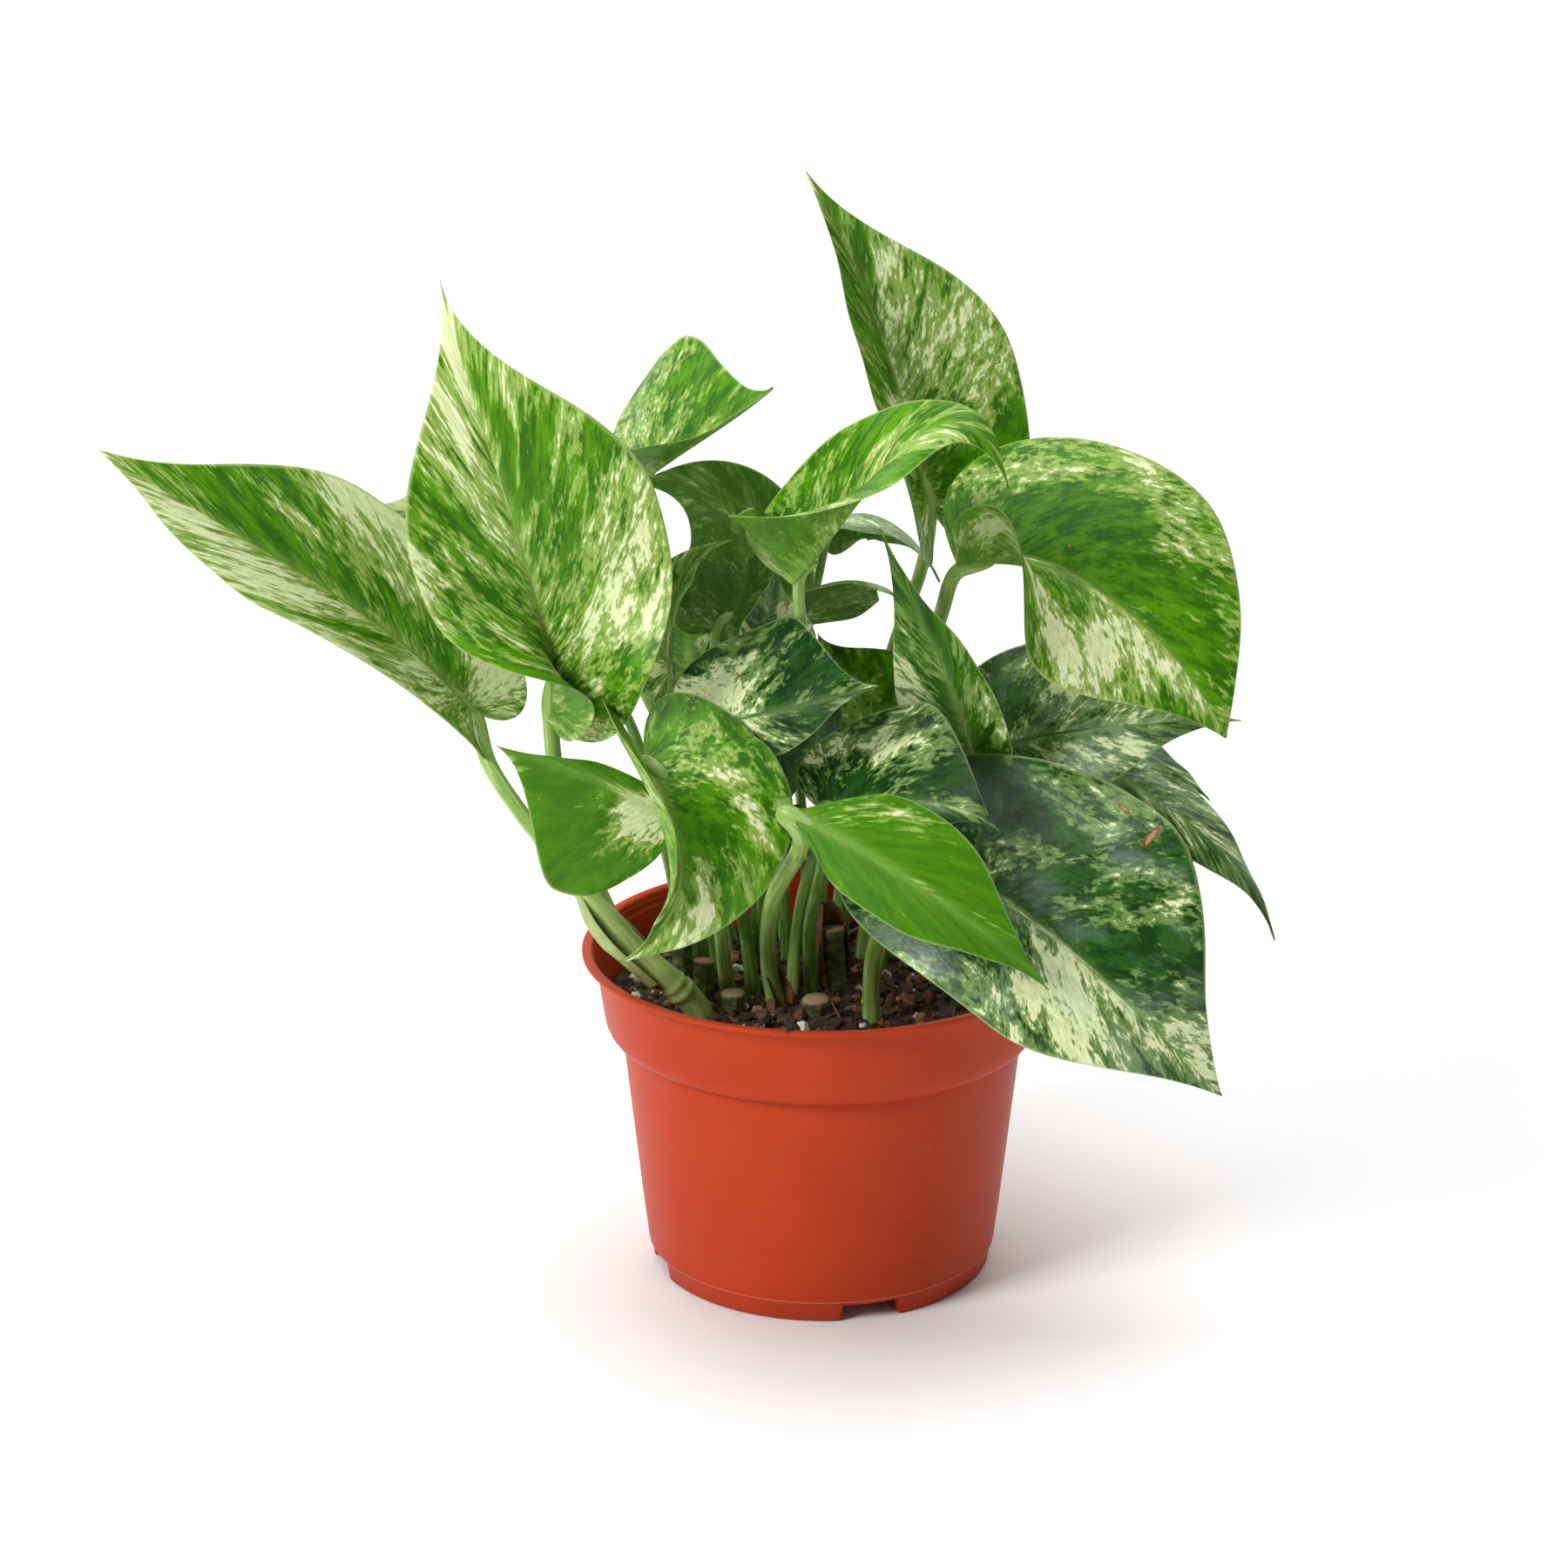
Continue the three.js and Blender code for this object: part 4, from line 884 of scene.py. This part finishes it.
def sheath(name, route, radii, opening, face, material, curl=0.0):
    """A strip round a route: the section is an arc that leaves `opening` radians free."""
    path = smooth_path(place(route), 48)
    _, normals, across = carried_frame(path, face)
    share = np.linspace(0, 1, 48)
    reach = np.interp(share, np.linspace(0, 1, len(radii)), radii) * UNIT
    angle = np.linspace(opening / 2, 2 * np.pi - opening / 2, 25) + np.pi / 2
    crinkle = 1 + 0.03 * np.sin(4 * angle[None] + 6 * share[:, None]) + curl * share[:, None] ** 2
    radius = reach[:, None] * crinkle
    points = (path[:, None] + (radius * np.sin(angle))[..., None] * normals[:, None]
              + (radius * np.cos(angle))[..., None] * across[:, None])
    skin = np.stack(np.broadcast_arrays(angle[None] * 3, share[:, None] * 40), -1)
    strip = add_mesh(name, points.reshape(-1, 3), [quads(48, 25)], uv=skin.reshape(-1, 2))
    thick = strip.modifiers.new("thickness", "SOLIDIFY")
    thick.thickness = 0.22 * UNIT
    thick.offset = 0
    finish_piece(strip, material, "stem")


PALE_PAPER = paper_material("pale_paper", (0.42, 0.50, 0.19), (0.26, 0.33, 0.09))
BROWN_PAPER = paper_material("brown_paper", (0.20, 0.085, 0.030), (0.055, 0.020, 0.008))
sheath("vine_sheath", [(-36, -18, -1), (-42, -19, 6), (-48, -20, 13), (-53, -19, 20)],
       [3.3, 3.9, 4.3, 3.4, 1.6], 2.6, (0.6, -0.5, 0.7), PALE_PAPER, curl=0.10)
sheath("stump_sheath", [(3, 1.5, -10), (2.6, 1.7, -3), (2, 2, 4), (1, 2.3, 9)],
       [3.6, 3.9, 3.5, 1.2], 2.6, (0.6, -0.7, 0), BROWN_PAPER, curl=0.2)
sheath("dry_bract", [(-8, -8, -12), (-9, -9, -8), (-11, -10, -3), (-12.5, -10, 0)],
       [1.5, 2.2, 1.6, 0.4], 3.2, (0.2, -1, 0.2), BROWN_PAPER, curl=0.3)


# %% [markdown]
# ## Stumps
# Each stump is a short ribbed tube with an uneven, corky top where it was cut.

# %% Stumps
STUMPS = {
    "front_left": ((-20, -9), (-20, -9.5, -8), 2.4),
    "front_middle": ((-1, -11), (-1.5, -12, -8.5), 2.8),
    "tall": ((-31, 3), (-32, 4, 3), 2.2),
    "left": ((-27, -2), (-26.5, -1, -3.5), 2.2),
    "sheathed": ((3, 2), (2, 2.5, 3), 2.6),
}


def bark_material():
    """Old green bark, and cork where the stem was cut."""
    material, tree, shader = new_material("old_stem")
    skin = add_node(tree, "ShaderNodeUVMap", uv_map="skin").outputs[0]
    lines = noise(tree, skin, 1.0, 5.0, 0.65, 0.4, stretch=(2.6, 0.35, 1))
    base = ramp(tree, lines, [(0.36, (0.028, 0.030, 0.008)), (0.50, (0.075, 0.105, 0.022)),
                              (0.66, (0.26, 0.24, 0.10))])
    cork = mix(tree, lines, (0.16, 0.095, 0.045), (0.42, 0.29, 0.17))
    base = mix(tree, attribute(tree, "cut"), base, cork)
    tree.links.new(base, shader.inputs["Base Color"])
    shader.inputs["Roughness"].default_value = 0.8
    bump(tree, shader, lines, 0.0008, 0.8)
    return material


BARK = bark_material()
for number, (name, (foot, top, radius)) in enumerate(STUMPS.items()):
    route = smooth_path(place_route([foot, top]), 40)
    share = np.linspace(0, 1, 40)
    crust = 0.02 * np.sin(23 * share + number) + 0.07 * np.exp(-((share - 0.93) / 0.05) ** 2)
    points, faces, uv = tube(route, radius * UNIT * (1.04 + crust), face=(0, -1, 0), sides=32,
                             shape=ridged(9, 0.06))
    top_share = np.append(np.repeat(share, 32), [0, 1])
    stump = add_mesh("old_stump_" + name, points, faces, uv=uv,
                     values={"cut": (top_share > 0.985).astype(float)})
    finish_piece(stump, BARK, "stem", "stump_" + name)
print(len(STUMPS), "stumps")


# %% [markdown]
# ## The pot
# A nursery pot is moulded from soft plastic: a tapered wall, a flared band that gives the rim its
# stiffness, a thin foot ring with four notches that let water out, and holes in the floor. Nearly
# all of it is one profile turned about the axis. The notches are made by lifting the foot's lower
# edge at four places, which keeps the surface one clean grid; only the round drain holes are cut.

# %% Pot wall
POT_PROFILE = [
    (0, 3.4), (30, 3.4), (35.4, 3.4), (36.4, 3.0), (36.8, 0.35), (37.15, 0), (38.0, 0),
    (38.35, 0.3), (39.05, 4.35), (39.15, 4.55), (39.5, 4.85), (39.55, 5.1), (41.0, 17),
    (45.1, 54.4), (45.0, 54.9), (45.3, 55.15), (46.2, 55.2), (46.9, 55.45), (47.7, 56.1),
    (48.4, 57.1), (48.9, 58.3), (49.2, 60.0), (51.1, 73.0), (51.3, 73.5), (51.8, 73.75),
    (53.7, 73.85), (54.0, 74.1), (54.0, 74.75), (53.75, 75.0), (52.2, 75.0), (51.8, 74.8),
    (51.55, 74.3), (47.8, 59.3), (47.4, 58.8), (44.1, 55.7), (43.85, 55.2), (38.3, 6.3),
    (37.6, 5.9), (30, 5.7), (0, 5.7),
]
NOTCH_WIDTH, NOTCH_HEIGHT, FIRST_NOTCH = 13.0, 3.6, -74.0
# A pale highlight is painted round the pot at this height, along the edge of the foot ring.
FOOT_EDGE_HEIGHT = 4.85  # height of the line where the wall meets the foot ring
AROUND = 480


def turned_pot():
    """The profile, refined along its length, turned about the pot's axis."""
    profile = np.array(POT_PROFILE, float)
    step = np.linalg.norm(np.diff(profile, axis=0), axis=1)
    run = np.concatenate([[0], np.cumsum(step)])
    extra = [np.linspace(a, b, max(2, int((b - a) / 3.0) + 1))[:-1] for a, b in zip(run, run[1:])]
    stations = np.append(np.concatenate(extra), run[-1])
    radius, height = (np.interp(stations, run, profile[:, k]) for k in (0, 1))
    angle = np.arange(AROUND) * 2 * np.pi / AROUND
    turn = (np.degrees(angle) - FIRST_NOTCH + 45) % 90 - 45
    reach = np.radians(np.abs(turn)) * 38
    lift = NOTCH_HEIGHT / (1 + np.exp((reach - NOTCH_WIDTH / 2) / 0.09))
    z = height[:, None] + np.clip(1 - height[:, None] / 4.4, 0, 1) * lift * (
        radius[:, None] > 36)
    nick = np.exp(-((np.degrees(angle) - 262) / 0.8) ** 2) * (height[:, None] > 74.6)
    z = z - 0.5 * nick
    inner = radius[1:-1]
    points = np.stack(np.broadcast_arrays(
        inner[:, None] * np.cos(angle), inner[:, None] * np.sin(angle), z[1:-1]), -1)
    rows = len(inner)
    points = np.vstack([points.reshape(-1, 3), [(0, 0, height[0]), (0, 0, height[-1])]])
    ring = np.arange(AROUND)
    after = (ring + 1) % AROUND
    under = np.stack([np.full(AROUND, len(points) - 2), after, ring], -1)
    last = (rows - 1) * AROUND
    floor = np.stack([np.full(AROUND, len(points) - 1), last + ring, last + after], -1)
    return points, [quads(rows, AROUND, wrap=True), under, floor]


points, faces = turned_pot()
pot_points = points * UNIT + [AXIS[0], AXIS[1], 0]
pot = add_mesh("pot_shell", pot_points, faces)
pot.data.set_sharp_from_angle(angle=np.radians(40))


def drain_drills():
    """Six round bars that cut the floor's holes."""
    for i in range(6):
        angle = np.radians(60 * i + 30)
        x, y = AXIS[0] + 23 * UNIT * np.cos(angle), AXIS[1] + 23 * UNIT * np.sin(angle)
        bpy.ops.mesh.primitive_cylinder_add(vertices=48, radius=3.5 * UNIT, depth=12 * UNIT,
                                            location=(x, y, 4.5 * UNIT))
        yield bpy.context.object


for drill in list(drain_drills()):
    cut = pot.modifiers.new("drain", "BOOLEAN")
    cut.object = drill
    cut.solver = "EXACT"
    bpy.context.view_layer.objects.active = pot
    bpy.ops.object.modifier_apply(modifier="drain")
    bpy.data.objects.remove(drill)


# %% Pot material
def pot_material():
    """Satin plastic: an even terracotta colour with faint clouds, the fine grain of a mould and
    a painted highlight: a pale line along the edge where the wall meets the foot ring."""
    material, tree, shader = new_material("terracotta_plastic")
    where = add_node(tree, "ShaderNodeTexCoord").outputs["Object"]
    clouds = noise(tree, where, 38.0, 4.0, 0.6)
    grain = noise(tree, where, 1500.0, 3.0, 0.6)
    rings = noise(tree, where, 1.0, 3.0, 0.6, stretch=(12, 12, 420))
    base = mix(tree, map_range(tree, clouds, 0.35, 0.7), (0.43, 0.039, 0.007),
               (0.48, 0.046, 0.009))
    base = mix(tree, map_range(tree, rings, 0.5, 0.75, 0.0, 0.25), base, (0.48, 0.060, 0.014))
    dust = noise(tree, where, 420.0, 2.0, 0.5)
    base = mix(tree, map_range(tree, dust, 0.72, 0.80, 0.0, 0.12), base, (0.60, 0.30, 0.18))
    # Painted highlight: a pale band where the wall meets the foot ring, standing in for light
    # caught by that edge.
    height_here = add_node(tree, "ShaderNodeSeparateXYZ")
    tree.links.new(where, height_here.inputs[0])
    foot_edge_highlight = combine(tree, "ABSOLUTE", combine(
        tree, "SUBTRACT", height_here.outputs["Z"], FOOT_EDGE_HEIGHT * UNIT), 0)
    foot_edge_highlight = map_range(tree, foot_edge_highlight, 0.35 * UNIT, 0.10 * UNIT, 0.0, 0.55)
    base = mix(tree, foot_edge_highlight, base, (0.72, 0.22, 0.12))
    tree.links.new(base, shader.inputs["Base Color"])
    tree.links.new(map_range(tree, clouds, 0.3, 0.7, 0.38, 0.48), shader.inputs["Roughness"])
    shader.inputs["Specular IOR Level"].default_value = 0.13
    shader.inputs["Subsurface Weight"].default_value = 0.03
    shader.inputs["Subsurface Scale"].default_value = 0.002
    height = combine(tree, "ADD", combine(tree, "MULTIPLY", grain, 0.35), rings)
    bump(tree, shader, height, 0.00012, 0.5)
    return material


finish_piece(pot, pot_material(), "pot", "pot")
print("pot with", len(pot.data.vertices), "points")


# %% [markdown]
# ## Soil
# The compost is dark peat with bark, twigs and white perlite. The ground itself is a disc with
# noise in its height; on it lie loose crumbs. A crumb needs only a few faces, because there are
# hundreds of them. Real crumbs could be simulated as they fall, but scattering them by a seeded
# random number puts them where a surface needs them and is the same every time.

# %% Ground
SOIL_RADIUS = 48.2
SOIL_RINGS = 70
SOIL_AROUND = 220
SOIL_DEPTH = 10.0  # the skirt that closes the ground below
SKIRT_SHARE = 0.84  # the skirt's radius beside the ground's, which keeps it inside the wall


def ground_height(x, y):
    """Gentle hills in mm: a sum of sines at odd angles."""
    total = np.zeros(np.shape(x))
    rng = np.random.default_rng(5)
    for size, amount in ((19, 0.7), (11, 0.55), (6.5, 0.4), (3.4, 0.30), (2.1, 0.22)):
        for _ in range(3):
            turn, phase = rng.uniform(0, 2 * np.pi, 2)
            total += amount / 3 * np.sin(
                2 * np.pi * (x * np.cos(turn) + y * np.sin(turn)) / size + phase)
    return total


def soil_mesh():
    """Rings round the axis at the ground's height, closed by a skirt and a bottom."""
    r = np.linspace(0, 1, SOIL_RINGS + 1)[1:] * SOIL_RADIUS
    angle = np.arange(SOIL_AROUND) * 2 * np.pi / SOIL_AROUND
    x, y = r[:, None] * np.cos(angle), r[:, None] * np.sin(angle)
    top = np.stack([x, y, ground_height(x, y) * np.clip((50 - r[:, None]) / 4, 0.4, 1)], -1)
    skirt = np.stack([x[-1] * SKIRT_SHARE, y[-1] * SKIRT_SHARE,
                      np.full(SOIL_AROUND, -SOIL_DEPTH)], -1)
    points = np.vstack([top.reshape(-1, 3), skirt, [(0, 0, 0.3), (0, 0, -SOIL_DEPTH)]])
    ring = np.arange(SOIL_AROUND)
    after = (ring + 1) % SOIL_AROUND
    centre = np.stack([np.full(SOIL_AROUND, len(points) - 2), ring, after], -1)
    last = SOIL_RINGS * SOIL_AROUND
    below = np.stack([np.full(SOIL_AROUND, len(points) - 1), last + after, last + ring], -1)
    return points, [quads(SOIL_RINGS + 1, SOIL_AROUND, wrap=True)[:, ::-1], centre, below]


def soil_material():
    """Peat: brown lumps on a nearly black ground, rough at every size."""
    material, tree, shader = new_material("dark_peat")
    where = add_node(tree, "ShaderNodeTexCoord").outputs["Object"]
    lumps = noise(tree, where, 260.0, 6.0, 0.7)
    fine = noise(tree, where, 1100.0, 4.0, 0.7)
    total = combine(tree, "ADD", combine(tree, "MULTIPLY", lumps, 0.6),
                    combine(tree, "MULTIPLY", fine, 0.4))
    base = ramp(tree, total, [(0.36, (0.010, 0.006, 0.004)), (0.50, (0.040, 0.020, 0.010)),
                              (0.64, (0.13, 0.062, 0.026))])
    tree.links.new(base, shader.inputs["Base Color"])
    shader.inputs["Roughness"].default_value = 0.9
    bump(tree, shader, total, 0.0016, 1.0)
    return material


points, faces = soil_mesh()
soil = add_mesh("peat", points * UNIT + [AXIS[0], AXIS[1], SOIL_TOP], faces)
PEAT = soil_material()
finish_piece(soil, PEAT, "soil", "soil")


# %% [markdown]
# ## Crumbs, bark chips and perlite
# Crumbs are little lumps with twelve corners, chips are stretched and flattened, and perlite is
# white and rounder. Every kind is one mesh.

# %% Crumbs
def icosahedron():
    """Twelve corners, one unit from the middle, and twenty triangles."""
    g = (1 + 5**0.5) / 2
    corners = [(-1, g, 0), (1, g, 0), (-1, -g, 0), (1, -g, 0), (0, -1, g), (0, 1, g), (0, -1, -g),
               (0, 1, -g), (g, 0, -1), (g, 0, 1), (-g, 0, -1), (-g, 0, 1)]
    faces = [(0, 11, 5), (0, 5, 1), (0, 1, 7), (0, 7, 10), (0, 10, 11), (1, 5, 9), (5, 11, 4),
             (11, 10, 2), (10, 7, 6), (7, 1, 8), (3, 9, 4), (3, 4, 2), (3, 2, 6), (3, 6, 8),
             (3, 8, 9), (4, 9, 5), (2, 4, 11), (6, 2, 10), (8, 6, 7), (9, 8, 1)]
    return unit(np.array(corners, float)), np.array(faces)


def random_turns(rng, count):
    """Rotation matrices from random unit quaternions."""
    w, x, y, z = unit(rng.normal(size=(count, 4))).T
    return np.stack([
        1 - 2 * (y * y + z * z), 2 * (x * y - z * w), 2 * (x * z + y * w),
        2 * (x * y + z * w), 1 - 2 * (x * x + z * z), 2 * (y * z - x * w),
        2 * (x * z - y * w), 2 * (y * z + x * w), 1 - 2 * (x * x + y * y)], -1).reshape(-1, 3, 3)


def scatter(name, seed, count, sizes, flatness, reach, material, rough=0.22, placed=()):
    """Lumps on the ground: centres at random on the disc, sizes in mm, flattened in z before
    they are turned. `placed` gives some as x, y, size instead."""
    rng = np.random.default_rng(seed)
    corners, triangles = icosahedron()
    radius = reach * np.sqrt(rng.uniform(0, 1, count))
    angle = rng.uniform(0, 2 * np.pi, count)
    x, y = radius * np.cos(angle), radius * np.sin(angle)
    size = sizes[0] + (sizes[1] - sizes[0]) * rng.uniform(0, 1, count) ** 2.5
    for i, (px, py, big) in enumerate(placed):
        x[i], y[i], size[i] = px, py, big
    lumps = corners[None] * (1 + rng.normal(0, rough, (count, 12, 1)))
    lumps = lumps * np.array([1, *flatness]) * size[:, None, None]
    lumps = np.einsum("nij,nkj->nki", random_turns(rng, count), lumps)
    centre = np.stack([x, y, ground_height(x, y) + 0.25 * size], -1)
    points = (lumps + centre[:, None]).reshape(-1, 3) * UNIT + [AXIS[0], AXIS[1], SOIL_TOP]
    faces = (triangles[None] + 12 * np.arange(count)[:, None, None]).reshape(-1, 3)
    tone = np.repeat(rng.uniform(0, 1, count), 12)
    lump = add_mesh(name, points, [faces], smooth=False, values={"tone": tone})
    finish_piece(lump, material, "soil")


def crumb_material(name, stops, roughness, grain):
    """A colour between the stops: most of it goes with the lump's own tone, the rest by noise."""
    material, tree, shader = new_material(name)
    where = add_node(tree, "ShaderNodeTexCoord").outputs["Object"]
    speck = noise(tree, where, grain, 4.0, 0.65)
    total = combine(tree, "ADD", combine(tree, "MULTIPLY", attribute(tree, "tone"), 0.6),
                    combine(tree, "MULTIPLY", speck, 0.4))
    tree.links.new(ramp(tree, total, stops), shader.inputs["Base Color"])
    shader.inputs["Roughness"].default_value = roughness
    bump(tree, shader, speck, 0.0006, 0.8)
    return material


CRUMB = crumb_material("crumb", [(0.2, (0.014, 0.008, 0.005)), (0.6, (0.085, 0.036, 0.015)),
                                 (0.85, (0.27, 0.12, 0.048))], 0.9, 900.0)
CHIP = crumb_material("bark_chip", [(0.2, (0.050, 0.021, 0.010)), (0.55, (0.20, 0.088, 0.036)),
                                    (0.85, (0.44, 0.25, 0.12))], 0.8, 700.0)
PERLITE = crumb_material("perlite", [(0.1, (0.45, 0.42, 0.36)), (0.6, (0.78, 0.76, 0.70)),
                                     (0.9, (0.88, 0.87, 0.83))], 0.75, 1300.0)
scatter("crumbs", 11, 1500, (0.4, 2.3), (0.8, 0.7), 46.5, CRUMB)
scatter("bark_chips", 12, 90, (0.8, 3.4), (0.42, 0.22), 44.5, CHIP, rough=0.12)
scatter("twigs", 13, 60, (1.2, 4.5), (0.10, 0.09), 43.0, CHIP, rough=0.05)
scatter("perlite_grains", 14, 70, (0.45, 2.1), (0.85, 0.75), 44.5, PERLITE, rough=0.13,
        placed=[(-30, -24, 2.2), (-4.5, -22.5, 2.6), (-13, -20, 1.4), (9, -19, 1.3)])
print("soil dressed")


# %% [markdown]
# ## A quiet studio
# A pale floor that rises into the background, a soft key light from the upper left, a faint one
# from the right and a wide one overhead, which keeps the floor and backdrop pale. Beyond the reach
# of the lights the floor in front glows a little, so that it stays pale from every side. Soft
# light suits leaves: it shows their gloss without hard spots.

# %% Floor and backdrop
def sweep_points():
    """A floor strip that bends up behind the object."""
    bend = np.linspace(0, np.pi / 2, 25)
    y = np.concatenate([[-9.0], 1.2 + 0.8 * np.sin(bend), [2.0]])
    z = np.concatenate([[0.0], 0.8 * (1 - np.cos(bend)), [4.0]])
    rows = np.stack([np.zeros_like(y), y, z - 0.0002], -1)
    return np.concatenate([rows + [x, 0, 0] for x in (-9.0, 9.0)]), len(y)


points, count = sweep_points()
index = np.arange(count - 1)
floor = add_mesh("floor", points, [np.stack([index, index + count, index + count + 1, index + 1],
                                            -1)])
floor_material, tree, shader = new_material("pale_floor")
shader.inputs["Base Color"].default_value = (0.88, 0.88, 0.88, 1)
shader.inputs["Roughness"].default_value = 0.85
where = add_node(tree, "ShaderNodeTexCoord").outputs["Object"]
forward = add_node(tree, "ShaderNodeSeparateXYZ")
tree.links.new(where, forward.inputs[0])
distance = add_node(tree, "ShaderNodeVectorMath", operation="LENGTH")
tree.links.new(where, distance.inputs[0])
far = map_range(tree, distance.outputs["Value"], 0.9, 2.4)
front = map_range(tree, forward.outputs["Y"], 0.9, 0.1)
tree.links.new(combine(tree, "MULTIPLY", far, front), shader.inputs["Emission Strength"])
shader.inputs["Emission Color"].default_value = (0.62, 0.62, 0.62, 1)
floor.data.materials.append(floor_material)
floor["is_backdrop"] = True


# %% Lights
def soft_light(name, place_at, target, size, power):
    """A square area light that faces its target."""
    data = bpy.data.lights.new(name, "AREA")
    data.shape = "SQUARE"
    data.size = size
    data.energy = power
    light = bpy.data.objects.new(name, data)
    light.location = place_at
    direction = Vector(target) - Vector(place_at)
    light.rotation_euler = direction.to_track_quat("-Z", "Y").to_euler()
    bpy.context.scene.collection.objects.link(light)


soft_light("key", (-0.95, -0.80, 0.90), (0, 0, 0.12), 0.5, 17)
soft_light("fill", (1.2, -0.9, 0.3), (0, 0, 0.1), 0.9, 0.3)
soft_light("overhead", (0, 0.7, 2.6), (0, 0.8, 0), 2.8, 78)
world = bpy.data.worlds.new("pale_room")
world.use_nodes = True
world.node_tree.nodes["Background"].inputs[0].default_value = (1, 1, 1, 1)
world.node_tree.nodes["Background"].inputs[1].default_value = 0.17
scene = bpy.context.scene
scene.world = world
scene.view_settings.view_transform = "Standard"


# %% [markdown]
# ## Camera and sizes
# The camera stands in front of the plant and a little above it, and looks down so that the rim
# shows as a narrow ellipse. The last step prints how large the finished model is beside the CAD.

# %% Camera
camera_data = bpy.data.cameras.new("front_view")
camera_data.lens = 98.26
camera_data.sensor_width = 36
camera = bpy.data.objects.new("front_view", camera_data)
camera.location = (AXIS[0] - 8.6 * UNIT, AXIS[1] - 900 * UNIT, 417 * UNIT)
camera.rotation_euler = (np.radians(71.33), 0, 0)
scene.collection.objects.link(camera)
scene.camera = camera

# %% Sizes and finish
sizes = {"cad": [list(map(float, corner)) for corner in cad_box],
         "finished": [list(map(float, corner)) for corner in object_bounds()]}
print("cad", sizes["cad"], "finished", sizes["finished"])
